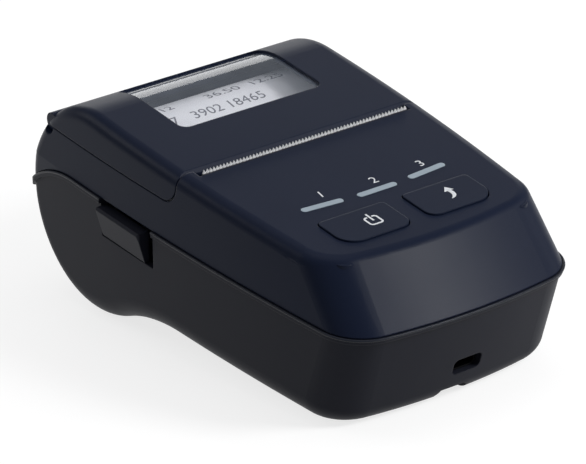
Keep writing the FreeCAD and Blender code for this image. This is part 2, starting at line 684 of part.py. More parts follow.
pane_gap = size(0.12)
pane_zone = prism("pane_zone", "Z", size(0.0), size(FAR),
                  soft_rectangle(pane_gap - d.window_half, d.window_half - pane_gap,
                                 d.window_front + pane_gap, window_rear - pane_gap,
                                 d.window_corner - pane_gap))
flange_zone = prism("flange_zone", "Z", size(0.0), size(FAR),
                    soft_rectangle(-d.window_half - d.flange_width, d.window_half + d.flange_width,
                                   d.window_front - d.flange_width, window_rear + d.flange_width * 0.6,
                                   d.window_corner + 1.0))
flange_start = d.wall + d.glue_gap
flange_end = flange_start + d.flange_thick
under_flange = side_prism("pane_under", flange_end)
pane = cut("pane", common("pane_block", pane_zone, side_prism("pane_over", d.window_sunk)), under_flange)
flange = cut("pane_flange", common("flange_block", flange_zone, side_prism("flange_over", flange_start)),
             under_flange)
node("cover_window", fuse("cover_window", pane, flange))

# Upper case: panel, side walls and rear wall, with lugs, bosses and the openings of the panel

upper_skin = common("upper_skin", shell, above_seam("upper_zone", half_gap))
boss_bite = size(1.2)
upper_bosses = [rods("upper_bosses_%d" % i, "Z", half_gap, crown_at(spots[0][1]) - boss_bite, spots,
                     d.column_radius - 0.6) for i, spots in enumerate((front_screws, mid_screws))]
key_board_top = d.key_board_level + d.board_thick
key_post_rows = [both_sides(d.key_board_half - 2.6, -key_board_rear - 2.6),
                 both_sides(d.key_board_half - 2.6, 2.6 - key_board_front)]
key_post_spots = key_post_rows[0] + key_post_rows[1]
key_posts = [rods("key_posts_%d" % i, "Z", key_board_top, crown_at(spots[0][1]) - boss_bite, spots,
                  d.boss_radius) for i, spots in enumerate(key_post_rows)]
hinge_scoop = rod("hinge_scoop", "X", -FAR, FAR, hinge_y, hinge_z, d.barrel_radius + d.cover_gap)
upper_open = cut("upper_open", upper_skin, cover_zone("cover_room", d.cover_gap), hinge_scoop)


def lug(name, start, end):
    """Hinge lug of the rear wall."""
    eye = rod(name + "_eye", "X", start, end, hinge_y, hinge_z, d.barrel_radius)
    web = prism(name + "_web", "X", start, end, [
        (hinge_y - 1.9, hinge_z - 1.2), (hinge_y + 0.4, hinge_z - 6.6),
        (hinge_y + 4.2, hinge_z - 6.6), (hinge_y + 2.1, hinge_z - 1.0)])
    return fuse(name, eye, web)


lugs = [lug("lug_left", -d.lug_outer, -d.lug_inner), lug("lug_right", d.lug_inner, d.lug_outer)]
upper_solid = fuse("upper_solid", upper_open, *upper_bosses, *key_posts, *lugs)
lug_bore = rod("lug_bore", "X", -d.pin_half - 1.0, d.pin_half + 1.0, hinge_y, hinge_z, d.pin_radius + 0.02)
slot = prism("paper_slot", "Z", size(4.0), size(FAR),
             rectangle(-d.slot_half, d.slot_half, -d.glue_gap, d.cover_front))


def key_outline(side, grow):
    """Key between its inner and outer sides, before its corners are rounded."""
    inner_x, outer_x = side * (d.key_inner - grow), side * (d.key_outer + grow)
    return rectangle(inner_x, outer_x, -key_front - grow, grow - key_rear)


def lens_outline(place, grow):
    """Indicator bar, tilted along the bow of the panel."""
    c, s = cosine(d.lens_tilt * place), sine(d.lens_tilt * place)
    x, y = d.lens_pitch * place, d.lens_bow * abs(place) - lens_line
    reach, half = d.lens_half + grow, d.lens_width / 2.0 + grow
    return [(x + reach * a * c - half * b * s, y + reach * a * s + half * b * c)
            for a, b in ((-1, -1), (1, -1), (1, 1), (-1, 1))]


def lens_form(name, grow):
    block = prism(name, "Z", size(0.0), size(FAR), *[lens_outline(p, size(grow)) for p in (-1, 0, 1)])
    return rounded_uprights(block, lambda x, y: d.lens_width * 0.45 + grow)


def key_form(name, side, grow):
    block = prism(name, "Z", size(0.0), size(FAR), key_outline(side, size(grow)))
    middle_x, middle_y = (d.key_inner + d.key_outer) / 2.0, -(key_front + key_rear) / 2.0

    def radius_at(x, y):
        if y > middle_y.value:
            return d.key_corner + grow
        return (d.key_outer_round if abs(x) > middle_x.value else d.key_inner_round) + grow

    return rounded_uprights(block, radius_at)


key_holes = [key_form("power_hole", -1, d.key_gap), key_form("feed_hole", 1, d.key_gap)]
lens_holes = lens_form("lens_holes", d.lens_gap)
case_pilots = rods("case_pilots", "Z", size(-1.0), d.screw_bite + 0.6, case_screw_spots, pilot)
key_pilots = rods("key_pilots", "Z", size(0.0), crown_at(-key_board_front) - boss_bite - 0.6,
                  key_post_spots, d.screw_radius * 0.8 + d.thread_gap)
upper_case = node("upper_case", cut("upper_case", upper_solid, lug_bore, slot, *key_holes, lens_holes,
                                    case_pilots, key_pilots))
node("hinge_pin", rod("hinge_pin", "X", -d.pin_half, d.pin_half, hinge_y, hinge_z, d.pin_radius))

# Keys, indicator lenses and what lies under them

key_slab = crown_band("key_slab", d.key_proud, d.key_thick - d.key_proud)
node("power_key", common("power_key", key_form("power_form", -1, 0.0), key_slab))
node("feed_key", common("feed_key", key_form("feed_form", 1, 0.0), key_slab))
lens_slab = crown_band("lens_slab", size(0.08), d.lens_depth)
node("indicator_lenses", common("indicator_lenses", lens_form("lens_bars", 0.0), lens_slab))
key_x, key_y = (d.key_inner + d.key_outer) / 2.0, -(key_rear + key_front) / 2.0
key_spots = both_sides(key_x, key_y)
key_board_holes = [("circle", x, y, d.screw_radius) for x, y in key_post_spots]
node("key_board", prism("key_board", "Z", d.key_board_level, key_board_top,
                        soft_rectangle(-d.key_board_half, d.key_board_half, -key_board_front,
                                       -key_board_rear, size(2.0)), *key_board_holes))
half_switch = d.switch_side / 2.0
switch_cans = prism("switch_cans", "Z", key_board_top, key_board_top + d.switch_tall,
                    *[rectangle(x - half_switch, x + half_switch, y - half_switch, y + half_switch)
                      for x, y in key_spots])
key_bottom = crown_at(key_y) + d.key_proud - d.key_thick
plungers = rods("switch_plungers", "Z", key_board_top + d.switch_tall - 0.5, key_bottom - d.press_gap,
                key_spots, d.plunger_radius)
node("tact_switches", fuse("tact_switches", switch_cans, plungers))
node("indicator_leds", prism("indicator_leds", "Z", key_board_top, key_board_top + 1.0,
                             *[rectangle(d.lens_pitch * p - 1.6, d.lens_pitch * p + 1.6,
                                         d.lens_bow * abs(p) - lens_line - 0.8,
                                         d.lens_bow * abs(p) - lens_line + 0.8) for p in (-1, 0, 1)]))


# Bodies built feature by feature

def origin_part(body, role):
    return next(part for part in body.Origin.OriginFeatures if part.Role == role)


def body_sketch(body, name, axis, level, *loops):
    plane = {"X": "YZ_Plane", "Y": "XZ_Plane", "Z": "XY_Plane"}[axis]
    sketch = body.newObject("Sketcher::SketchObject", name)
    sketch.AttachmentSupport = (origin_part(body, plane), [""])
    sketch.MapMode = "FlatFace"
    bind(sketch, "AttachmentOffset.Base.z", level)
    draw(sketch, loops)
    return sketch


def pad(body, name, axis, level, length, *loops):
    """Pad of a sketch, towards plus X or Z, or towards minus Y from the plane of Y."""
    feature = body.newObject("PartDesign::Pad", name)
    feature.Profile = body_sketch(body, name + "_sketch", axis, level, *loops)
    bind(feature, "Length", length)
    body.Tip = feature
    return feature


# Tear bar: folded strip of steel with a row of teeth in its upright edge

tear_bar = doc.addObject("PartDesign::Body", "tear_bar")
bar_top = crown_at(size(0.0))
bar_low = bar_top - d.bar_depth
foot_level = bar_low + 1.4
pad(tear_bar, "bar_strip", "X", -d.tear_half, d.tear_half * 2.0, [
    (size(0.0), bar_low), (d.bar_thick, bar_low), (d.bar_thick, bar_top), (size(0.0), bar_top),
    (size(0.0), foot_level + d.bar_thick), (-d.bar_foot, foot_level + d.bar_thick),
    (-d.bar_foot, foot_level), (size(0.0), foot_level)])
pitch = d.tear_half * 2.0 / d.tooth_count
tooth = pad(tear_bar, "bar_tooth", "Y", -d.bar_thick, d.bar_thick, [
    (-d.tear_half, bar_top - 0.1), (pitch - d.tear_half, bar_top - 0.1),
    (pitch / 2.0 - d.tear_half, bar_top + d.tooth_height)])
teeth = tear_bar.newObject("PartDesign::LinearPattern", "bar_teeth")
teeth.Originals = [tooth]
teeth.Direction = (origin_part(tear_bar, "X_Axis"), [""])
bind(teeth, "Length", d.tear_half * 2.0 - pitch)
bind(teeth, "Occurrences", d.tooth_count)
tear_bar.Tip = teeth
node("tear_bar", tear_bar)

# Gear train: the platen gear rides on the cover, idler and pinion stay with the frame

gear_end = d.gear_start + d.gear_width
idler_span = d.gear_module * (d.platen_teeth + d.idler_teeth) / 2.0 + d.mesh_gap
pinion_span = d.gear_module * (d.idler_teeth + d.pinion_teeth) / 2.0 + d.mesh_gap
idler_lead = size(0.4)
idler_y = d.platen_y + idler_lead
idler_z = d.platen_z - root(idler_span * idler_span - idler_lead * idler_lead)
motor_y = idler_y - d.pinion_lead
motor_z = idler_z - root(pinion_span * pinion_span - d.pinion_lead * d.pinion_lead)


def gear(label, teeth_count, bore, y, z, phase):
    """Spur gear on an axis along X, one tooth turned to the phase angle."""
    wheel = doc.addObject("PartDesign::Body", label)
    pitch_radius = d.gear_module * teeth_count / 2.0
    foot, tip = pitch_radius - d.gear_module * 1.15, pitch_radius + d.gear_module * 0.8
    wide, narrow = d.gear_module * 0.85, d.gear_module * 0.32
    pad(wheel, label + "_disc", "X", d.gear_start, d.gear_width,
        ("circle", 0.0, 0.0, foot), ("circle", 0.0, 0.0, bore))
    one = pad(wheel, label + "_tooth", "X", d.gear_start, d.gear_width, [
        (foot - 0.1, -wide), (tip, -narrow), (tip, narrow), (foot - 0.1, wide)])
    ring = wheel.newObject("PartDesign::PolarPattern", label + "_teeth")
    ring.Originals = [one]
    ring.Axis = (origin_part(wheel, "X_Axis"), [""])
    ring.Angle = 360
    bind(ring, "Occurrences", teeth_count)
    wheel.Tip = ring
    turned_to = FreeCAD.Rotation(Vector(1, 0, 0), phase)
    wheel.Placement = FreeCAD.Placement(Vector(0, y.value, z.value), turned_to)
    return node(label, wheel)


def bearing(from_y, from_z, to_y, to_z):
    """Direction from one axis to the next, in degrees from plus Y towards plus Z."""
    return math.degrees(math.atan2(to_z.value - from_z.value, to_y.value - from_y.value))


to_idler = bearing(d.platen_y, d.platen_z, idler_y, idler_z)
to_motor = bearing(idler_y, idler_z, motor_y, motor_z)
idler_phase = to_idler + 180.0 + 180.0 / d.idler_teeth.value
into_pitch = (to_motor - idler_phase) % (360.0 / d.idler_teeth.value)
pinion_phase = (to_motor + 180.0 + into_pitch * d.idler_teeth.value / d.pinion_teeth.value
                + 180.0 / d.pinion_teeth.value)
snug = size(0.02)
gear("platen_gear", d.platen_teeth, d.shaft_radius + snug, d.platen_y, d.platen_z, to_idler)
gear("idler_gear", d.idler_teeth, d.post_radius + d.running_gap, idler_y, idler_z, idler_phase)
gear("motor_pinion", d.pinion_teeth, d.motor_shaft_radius + snug, motor_y, motor_z, pinion_phase)

# Platen: stepped shaft, rubber sleeve, bushings and the stamped bracket under the cover

core = d.shaft_radius + 0.5
shaft = doc.addObject("PartDesign::Body", "platen_shaft")
left_end, right_end = -(d.ear_inner + d.ear_thick + 1.2), gear_end + 0.3
grown = d.rubber_half - 0.4
turned = shaft.newObject("PartDesign::Revolution", "shaft_turning")
turned.Profile = body_sketch(shaft, "shaft_half", "Z", size(0.0), [
    (left_end, 0.0), (right_end, 0.0), (right_end, d.shaft_radius - 0.3), (right_end - 0.3, d.shaft_radius),
    (grown, d.shaft_radius), (grown, core), (-grown, core), (-grown, d.shaft_radius),
    (left_end + 0.3, d.shaft_radius), (left_end, d.shaft_radius - 0.3)])
turned.ReferenceAxis = (origin_part(shaft, "X_Axis"), [""])
turned.Angle = 360
shaft.Tip = turned
shaft.Placement = FreeCAD.Placement(Vector(0, d.platen_y.value, d.platen_z.value), FreeCAD.Rotation())
node("platen_shaft", shaft)
node("platen_rubber", rod("platen_rubber", "X", -d.rubber_half, d.rubber_half, d.platen_y, d.platen_z,
                          d.platen_radius, core + snug))
ear_outer = d.ear_inner + d.ear_thick
bushes = [rod("bush_%d" % i, "X", a, b, d.platen_y, d.platen_z, d.bush_radius,
              d.shaft_radius + d.running_gap)
          for i, (a, b) in enumerate(((-ear_outer - 0.15, 0.15 - d.ear_inner),
                                      (d.ear_inner - 0.15, ear_outer + 0.15)))]
node("platen_bushings", fuse("platen_bushings", *bushes))
bracket_front = d.cover_front + 1.6
ear_loop = [(bracket_front, bracket_top), (d.platen_y - d.ear_radius, d.platen_z, d.ear_radius),
            (d.platen_y, d.platen_z - d.ear_radius, d.ear_radius), (d.platen_y + d.ear_radius, d.platen_z),
            (d.platen_y + d.ear_radius, bracket_top)]
ears = [prism("ear_%d" % i, "X", a, b, ear_loop)
        for i, (a, b) in enumerate(((-ear_outer, -d.ear_inner), (d.ear_inner, ear_outer)))]
plate = prism("bracket_plate", "Z", d.bracket_level, bracket_top,
              rectangle(-ear_outer, ear_outer, bracket_front, d.bracket_rear),
              *[("circle", x, y, d.screw_radius) for x, y in bracket_spots])
bush_holes = rod("bush_holes", "X", -FAR, FAR, d.platen_y, d.platen_z, d.bush_radius + snug)
node("platen_bracket", cut("platen_bracket", fuse("bracket_solid", plate, *ears), bush_holes))

# Print mechanism in its frame

nip_y = d.platen_y - d.platen_radius
head_face = nip_y - d.nip_gap
head_back = head_face - d.head_thick
sink_back = head_back - d.sink_thick
inside = d.frame_half - d.frame_wall
wall_front = d.frame_wall - 0.3 - d.frame_front
tall_rear = head_face - 0.95
side_loop_frame = [(-d.frame_front, -frame_floor), (d.frame_rear, -frame_floor),
                   (d.frame_rear, d.frame_low), (tall_rear, d.frame_low),
                   (tall_rear, d.frame_top), (-d.frame_front, d.frame_top)]
frame_sides = [prism("frame_side_%d" % i, "X", a, b, side_loop_frame)
               for i, (a, b) in enumerate(((-d.frame_half, -inside), (inside, d.frame_half)))]
frame_base = prism("frame_base", "X", -inside - 0.2, inside + 0.2,
                   rectangle(-d.frame_front, d.frame_rear, -frame_floor, d.frame_base - frame_floor))
frame_face = prism("frame_face", "X", -inside - 0.2, inside + 0.2,
                   rectangle(-d.frame_front, wall_front, -frame_floor, d.frame_top))
frame_shelf = prism("frame_shelf", "X", -inside - 0.2, inside + 0.2,
                    rectangle(-d.frame_front, tall_rear, d.shelf_level - d.shelf_thick, d.shelf_level))
frame_bar = prism("frame_bar", "X", -inside - 0.2, inside + 0.2,
                  rectangle(d.frame_rear - 4.6, d.frame_rear, d.frame_low - 2.0, d.frame_low))
ribbon_half = size(10.0)
ribbon_slot = prism("ribbon_slot", "Y", -d.frame_front - 1.0, wall_front + 1.0,
                    rectangle(-ribbon_half - 0.5, ribbon_half + 0.5, d.shelf_level, d.shelf_level + 1.2))
frame_screw_holes = rods("frame_screw_holes", "Z", -frame_floor - 1.0, 3.0 - frame_floor, mech_spots,
                         d.screw_radius + 0.3)
shaft_hole = rod("frame_shaft_hole", "X", size(0.0), size(FAR), motor_y, motor_z,
                 d.motor_shaft_radius + 0.5)
post_hole = rod("frame_post_hole", "X", size(0.0), size(FAR), idler_y, idler_z, d.post_radius + snug)
frame_solid = fuse("frame_solid", *frame_sides, frame_base, frame_face, frame_shelf, frame_bar)
node("mechanism_frame", cut("mechanism_frame", frame_solid, ribbon_slot, frame_screw_holes, shaft_hole,
                            post_hole))
post_shoulder = rod("post_shoulder", "X", d.frame_half, d.gear_start - 0.15, idler_y, idler_z,
                    d.post_radius * 2.0)
post_pin = rod("post_pin", "X", inside, gear_end + 0.5, idler_y, idler_z, d.post_radius)
post_clip = rod("post_clip", "X", gear_end + 0.15, gear_end + 0.5, idler_y, idler_z, d.post_radius * 1.8)
node("idler_post", fuse("idler_post", post_shoulder, post_pin, post_clip))
motor_start = inside - d.motor_length
room_below = frame_floor - d.frame_base + motor_z
room_above = d.shelf_level - d.shelf_thick - motor_z
motor_radius = smaller(room_below, room_above) - d.motor_gap
motor_can = rod("motor_can", "X", motor_start, inside, motor_y, motor_z, motor_radius)
motor_cap = rod("motor_cap", "X", motor_start - 0.8, motor_start + 0.2, motor_y, motor_z,
                motor_radius * 0.45)
motor_bore = rod("motor_bore", "X", motor_start + 4.0, size(FAR), motor_y, motor_z,
                 d.motor_shaft_radius + d.running_gap)
node("stepper_motor", cut("stepper_motor", fuse("motor_solid", motor_can, motor_cap), motor_bore))
node("motor_shaft", rod("motor_shaft", "X", motor_start + 4.2, gear_end + 0.2, motor_y, motor_z,
                        d.motor_shaft_radius))
node("thermal_head", prism("thermal_head", "X", -d.head_half, d.head_half, [
    (head_back, d.head_bottom), (head_face, d.head_bottom), (head_face, d.platen_z - 1.0),
    (head_face + 0.12, d.platen_z - 0.4), (head_face + 0.12, d.platen_z + 0.4),
    (head_face, d.platen_z + 1.0), (head_face, d.head_top), (head_back, d.head_top)]))
fin_count = 4
fin_step = (d.sink_top - d.shelf_level) / fin_count
fin_thick, fin_root = fin_step * 0.45, head_back - d.sink_thick * 0.45
comb = [(head_back, d.shelf_level), (head_back, d.sink_top)]
for i in range(fin_count):
    high = d.sink_top - fin_step * i
    comb += [(sink_back, high), (sink_back, high - fin_thick), (fin_root, high - fin_thick),
             (fin_root, high - fin_step)]
node("heat_sink", prism("heat_sink", "X", -d.head_half, d.head_half, comb))
spring_tip = d.sink_top - fin_step - fin_thick / 2.0
node("head_spring", prism("head_spring", "X", -d.spring_half, d.spring_half, [
    (wall_front, d.shelf_level + 1.6), (wall_front + d.spring_thick, d.shelf_level + 1.6),
    (wall_front + d.spring_thick, spring_tip - 3.4), (sink_back, spring_tip - 0.3),
    (sink_back, spring_tip + 0.2), (wall_front, spring_tip - 2.9)]))
node("paper_sensor", prism("paper_sensor", "Z", d.frame_low, d.frame_low + 0.8,
                           rectangle(size(6.0), size(11.0), d.frame_rear - 4.2, d.frame_rear - 0.8)))

# Paper: roll on its core in the bin, and the web led under the platen to the slot

roll_y = bin_y
roll_z = belly_z - (bin_in - roll_radius - d.paper_gap)
node("paper_roll", rod("paper_roll", "X", -d.paper_half, d.paper_half, roll_y, roll_z, roll_radius,
                       d.core_radius + snug))
node("roll_core", rod("roll_core", "X", -d.paper_half, d.paper_half, roll_y, roll_z, d.core_radius,
                      d.core_radius - d.core_wall))
web_half = d.web_thick / 2.0
roll_lead = roll_radius + d.paper_gap + web_half
platen_lead = d.platen_radius + d.paper_gap + web_half
run_y, run_z = d.platen_y - roll_y, d.platen_z - roll_z
run_square = run_y * run_y + run_z * run_z
lead_sum = roll_lead + platen_lead
lead_rest = root(run_square - lead_sum * lead_sum)
normal_y = (lead_sum * run_y + lead_rest * run_z) / run_square
normal_z = (lead_sum * run_z - lead_rest * run_y) / run_square
out_y, out_z = d.exit_y - d.platen_y, d.exit_z - d.platen_z
out_square = out_y * out_y + out_z * out_z
out_rest = root(out_square - platen_lead * platen_lead)
leave_y = (platen_lead * out_y - out_rest * out_z) / out_square
leave_z = (platen_lead * out_z + out_rest * out_y) / out_square
near, far_side = platen_lead - web_half, platen_lead + web_half
node("paper_web", prism("paper_web", "X", -d.paper_half, d.paper_half, [
    (roll_y + normal_y * (roll_lead + web_half), roll_z + normal_z * (roll_lead + web_half)),
    (d.platen_y - normal_y * near, d.platen_z - normal_z * near, -near),
    (d.platen_y + leave_y * near, d.platen_z + leave_z * near),
    (d.exit_y - leave_y * web_half, d.exit_z - leave_z * web_half),
    (d.exit_y + leave_y * web_half, d.exit_z + leave_z * web_half),
    (d.platen_y + leave_y * far_side, d.platen_z + leave_z * far_side, far_side),
    (d.platen_y - normal_y * far_side, d.platen_z - normal_z * far_side),
    (roll_y + normal_y * (roll_lead - web_half), roll_z + normal_z * (roll_lead - web_half))]))
bin_front = bin_y - bin_out
web_rise = -normal_y / normal_z
bin_lip = (d.platen_z - normal_z * far_side + (bin_front - d.platen_y + normal_y * far_side) * web_rise
           - d.lip_clear)
rise_c, rise_s = cosine(d.bin_rear_angle), sine(d.bin_rear_angle)
bin_outside = [(bin_front, bin_lip), (bin_front, belly_z, bin_out),
               (bin_y, belly_z - bin_out, bin_out), (bin_y + bin_out * rise_c, belly_z + bin_out * rise_s)]
bin_inside = [(bin_y + bin_in * rise_c, belly_z + bin_in * rise_s, -bin_in),
              (bin_y, belly_z - bin_in, -bin_in), (bin_y - bin_in, belly_z), (bin_y - bin_in, bin_lip)]
trough = prism("bin_trough", "X", -d.bin_inner - 0.2, d.bin_inner + 0.2, bin_outside + bin_inside)
cheeks = [prism("bin_cheek_%d" % i, "X", a, b, bin_outside)
          for i, (a, b) in enumerate(((-d.bin_inner - d.cheek_wall, -d.bin_inner),
                                      (d.bin_inner, d.bin_inner + d.cheek_wall)))]
node("paper_bin", fuse("paper_bin", trough, *cheeks))

# Boards, battery and battery door

main_bottom, main_top = -d.main_level, d.board_thick - d.main_level
node("main_board", prism("main_board", "Z", main_bottom, main_top,
                         soft_rectangle(-d.main_half, d.main_half, -main_front, -d.main_rear, size(2.0)),
                         *[("circle", x, y, d.screw_radius + 0.2) for x, y in main_post_spots]))
node("wireless_module", prism("wireless_module", "Z", main_top, main_top + 2.4,
                              soft_rectangle(-d.main_half + 7.0, -d.main_half + 21.0, 2.0 - main_front,
                                             -d.main_rear - 6.4, size(0.8))))
node("board_connectors", prism("board_connectors", "Z", main_top, main_top + 2.2,
                               rectangle(-ribbon_half - 1.5, ribbon_half + 1.5,
                                         -d.main_rear - 5.0, -d.main_rear - 1.2),
                               rectangle(size(4.0), size(14.0), 1.0 - main_front, 6.0 - main_front),
                               rectangle(size(17.0), size(24.0), 1.0 - main_front, 6.0 - main_front)))
ribbon_high, ribbon_low = d.shelf_level + 0.3, main_top + 1.0
ribbon_end = -d.main_rear - 1.2
node("head_ribbon", prism("head_ribbon", "X", -ribbon_half, ribbon_half, [
    (sink_back - 0.1, ribbon_high), (sink_back - 0.1, ribbon_high + 0.25),
    (-d.frame_front - 1.0, ribbon_high + 0.25), (ribbon_end + 1.5, ribbon_low + 0.25),
    (ribbon_end, ribbon_low + 0.25), (ribbon_end, ribbon_low),
    (ribbon_end + 1.5, ribbon_low), (-d.frame_front - 1.0, ribbon_high)]))
usb_front = -(d.front_reach - usb_z * (d.front_reach - keel_front) / keel_level) + d.usb_sunk
usb_block = prism("usb_block", "Y", usb_front, usb_front + d.usb_long,
                  soft_rectangle(d.usb_x - d.usb_half, d.usb_x + d.usb_half, -usb_z - d.usb_tall / 2.0,
                                 d.usb_tall / 2.0 - usb_z, size(1.2)))
usb_mouth = prism("usb_mouth", "Y", usb_front - 1.0, usb_front + d.usb_long * 0.72,
                  soft_rectangle(d.usb_x - d.usb_half + d.usb_wall, d.usb_x + d.usb_half - d.usb_wall,
                                 d.usb_wall - usb_z - d.usb_tall / 2.0,
                                 d.usb_tall / 2.0 - usb_z - d.usb_wall, size(0.9)))
usb_tongue = prism("usb_tongue", "Y", usb_front + 0.8, usb_front + d.usb_long * 0.8,
                   rectangle(d.usb_x - 2.4, d.usb_x + 2.4, 0.2 - usb_z, 0.9 - usb_z))
node("usb_socket", fuse("usb_socket", cut("usb_shell", usb_block, usb_mouth), usb_tongue))
node("charge_board", prism("charge_board", "Z", charge_top - d.board_thick, charge_top,
                           soft_rectangle(-d.charge_left, d.charge_right, -charge_front, -charge_rear,
                                          size(1.0)),
                           *[("circle", x, y, d.screw_radius + 0.2) for x, y in charge_spots]))
node("battery_pack", prism("battery_pack", "Z", -battery_bottom, -d.battery_top,
                           soft_rectangle(-d.battery_half, d.battery_half, -battery_front, -d.battery_rear,
                                          d.battery_corner)))
node("battery_contacts", prism("battery_contacts", "Z", 0.3 - d.battery_top, main_bottom,
                               rectangle(size(-5.0), size(5.0), 2.5 - battery_front, 7.5 - battery_front)))
door_plate = prism("door_plate", "Z", -d.flat_depth, -d.flat_depth + d.door_thick,
                   soft_rectangle(-d.door_half, d.door_half, -door_front, -d.door_rear, d.door_corner))
tab_low = floor + 0.15
door_tabs = [prism("door_tab_%d" % side, "X", side * d.door_half * 0.6 - d.tab_half,
                   side * d.door_half * 0.6 + d.tab_half, [
                       (-d.door_rear - 1.0, floor - 0.3), (-d.door_rear, floor - 0.3),
                       (-d.door_rear, tab_low), (d.tab_reach - d.door_rear, tab_low),
                       (d.tab_reach - d.door_rear, tab_low + d.tab_thick),
                       (-d.door_rear - 1.0, tab_low + d.tab_thick)]) for side in (-1, 1)]
tongue_half = d.notch_half - d.door_gap
door_tongue = prism("door_tongue", "Z", -d.flat_depth, d.door_thick - d.flat_depth,
                    rectangle(d.notch_x - tongue_half, d.notch_x + tongue_half,
                              -door_front - d.tongue_reach, d.door_corner - door_front))
node("battery_door", fuse("battery_door", door_plate, door_tongue, *door_tabs))

# Release levers: a pad in the side wall, a knuckle at its rear end and an arm up to the cover

pad_face = d.belt_half + d.pad_proud
pad_plan = prism("pad_plan", "Z", -d.pad_bottom, -d.pad_top, [
    (d.pivot_x + 2.0, d.pad_front), (pad_face - 0.5, d.pad_front), (pad_face, d.pad_front + 0.5),
    (pad_face, d.pad_rear), (d.pivot_x + 2.0, d.pad_rear)])
pad_front_view = prism("pad_front_view", "Y", size(0.0), size(FAR), [
    (d.arm_inner, -d.pad_bottom), (d.belt_half - d.pad_flush, -d.pad_bottom), (pad_face, -d.pad_top - 0.7),
    (pad_face - 0.4, -d.pad_top), (d.arm_inner, -d.pad_top)])
lever_pad = common("lever_pad", pad_plan, pad_front_view)
knuckle_low, knuckle_high = 0.8 - d.pad_bottom, -d.pad_top - 0.4
knuckle = rod("lever_knuckle", "Z", knuckle_low, knuckle_high, d.pivot_x, d.pivot_y, d.knuckle_radius)
lever_web = prism("lever_web", "Z", knuckle_low, knuckle_high,
                  rectangle(d.pivot_x, d.pivot_x + 2.4, d.pivot_y - 1.4, d.pivot_y + 1.4))
arm_foot = prism("arm_foot", "Z", -d.pad_bottom * 0.5, -d.pad_top - 1.0,
                 rectangle(d.arm_inner, d.pivot_x + 2.4, d.arm_front, d.arm_rear))
arm = prism("lever_arm", "Z", -d.pad_bottom * 0.5, d.hook_level,
            rectangle(d.arm_inner, d.arm_inner + d.arm_thick, d.arm_front, d.arm_rear))
pivot_spots = both_sides(d.pivot_x, d.pivot_y)
lever_bores = rods("lever_bores", "Z", -FAR, FAR, pivot_spots, d.pivot_radius + d.running_gap)
lever_blank = fuse("lever_blank", lever_pad, knuckle, lever_web, arm_foot, arm)
mirrored_blank = doc.addObject("Part::Mirroring", "mirrored_blank")
mirrored_blank.Source = lever_blank
mirrored_blank.Normal = Vector(1, 0, 0)
lever_right = node("release_lever_right", cut("release_lever_right", lever_blank, lever_bores))
lever_left = node("release_lever_left", cut("release_lever_left", mirrored_blank, lever_bores))
node("lever_pins", rods("lever_pins", "Z", shelf_top - 1.4, -d.pad_top + 0.3, pivot_spots, d.pivot_radius))


# Screws, one node for each kind

def screws(name, seat, reach, up, spots, radius, head_radius, head_tall, cross=False):
    """Pan-head screws with their heads on a seat, pointing up or down."""
    top, low = (seat, seat - head_tall) if up else (seat + head_tall, seat)
    heads = rods(name + "_heads", "Z", low, top, spots, head_radius)
    tip = seat + reach if up else seat - reach
    start, end = (seat - 0.2, tip) if up else (tip, seat + 0.2)
    shanks = rods(name + "_shanks", "Z", start, end, spots, radius)
    blanks = fuse(name + "_blanks", heads, shanks)
    if not cross:
        return blanks
    arm, reach_out = head_radius * 0.18, head_radius * 0.62
    start, end = (low - 0.2, low + head_tall * 0.5) if up else (top - head_tall * 0.5, top + 0.2)
    recess = prism(name + "_recess", "Z", start, end, *[
        [(x - reach_out, y - arm), (x - arm, y - arm), (x - arm, y - reach_out), (x + arm, y - reach_out),
         (x + arm, y - arm), (x + reach_out, y - arm), (x + reach_out, y + arm), (x + arm, y + arm),
         (x + arm, y + reach_out), (x - arm, y + reach_out), (x - arm, y + arm), (x - reach_out, y + arm)]
        for x, y in spots])
    return cut(name, blanks, recess)


small = d.screw_radius * 0.8
node("case_screws", screws("case_screws", -d.screw_seat, d.screw_seat + d.screw_bite, True,
                           case_screw_spots, d.screw_radius, d.screw_head, d.head_tall, cross=True))
node("main_board_screws", screws("main_board_screws", main_top, size(5.0), False, main_post_spots,
                                 d.screw_radius, d.screw_head, d.head_tall))
node("charge_board_screws", screws("charge_board_screws", charge_top, size(3.2), False, charge_spots,
                                   d.screw_radius, d.screw_head, d.head_tall))
node("key_board_screws", screws("key_board_screws", d.key_board_level, size(3.8), True, key_post_spots,
                                small, d.screw_head * 0.85, d.head_tall * 0.8))
node("mechanism_screws", screws("mechanism_screws", d.frame_base - frame_floor, size(4.6), False,
                                mech_spots, d.screw_radius, d.screw_head, d.head_tall))
node("bracket_screws", screws("bracket_screws", d.bracket_level, size(2.2), True, bracket_spots, small,
                              d.screw_head * 0.85, d.head_tall * 0.7))
doc.recompute()

# Rest pose: the flat that the lower case stands on, under the middle of the machine


def turn(o, a, b):
    return (a[0] - o[0]) * (b[1] - o[1]) - (a[1] - o[1]) * (b[0] - o[0])


outline_points = sorted({(round(p.y, 4), round(p.z, 4)) for p in lower_case.Shape.tessellate(0.02)[0]})
under_side = []
for point in outline_points:
    while len(under_side) > 1 and turn(under_side[-2], under_side[-1], point) <= 0:
        under_side.pop()
    under_side.append(point)
stand = max((b[0] - a[0], a, b) for a, b in zip(under_side, under_side[1:]))
tilt = -math.atan2(stand[2][1] - stand[1][1], stand[2][0] - stand[1][0])
level = FreeCAD.Rotation(Vector(1, 0, 0), math.degrees(tilt))
stood = [level.multVec(p) for thing in (lower_case, upper_case, paper_cover, lever_right, lever_left)
         for p in thing.Shape.tessellate(0.02)[0]]
shift = Vector(-(min(p.x for p in stood) + max(p.x for p in stood)) / 2.0,
               -(min(p.y for p in stood) + max(p.y for p in stood)) / 2.0, -min(p.z for p in stood))
rest = FreeCAD.Placement(shift, level)
print("rest tilt %.4f deg, shift %.4f %.4f %.4f mm" % (math.degrees(tilt), shift.x, shift.y, shift.z))

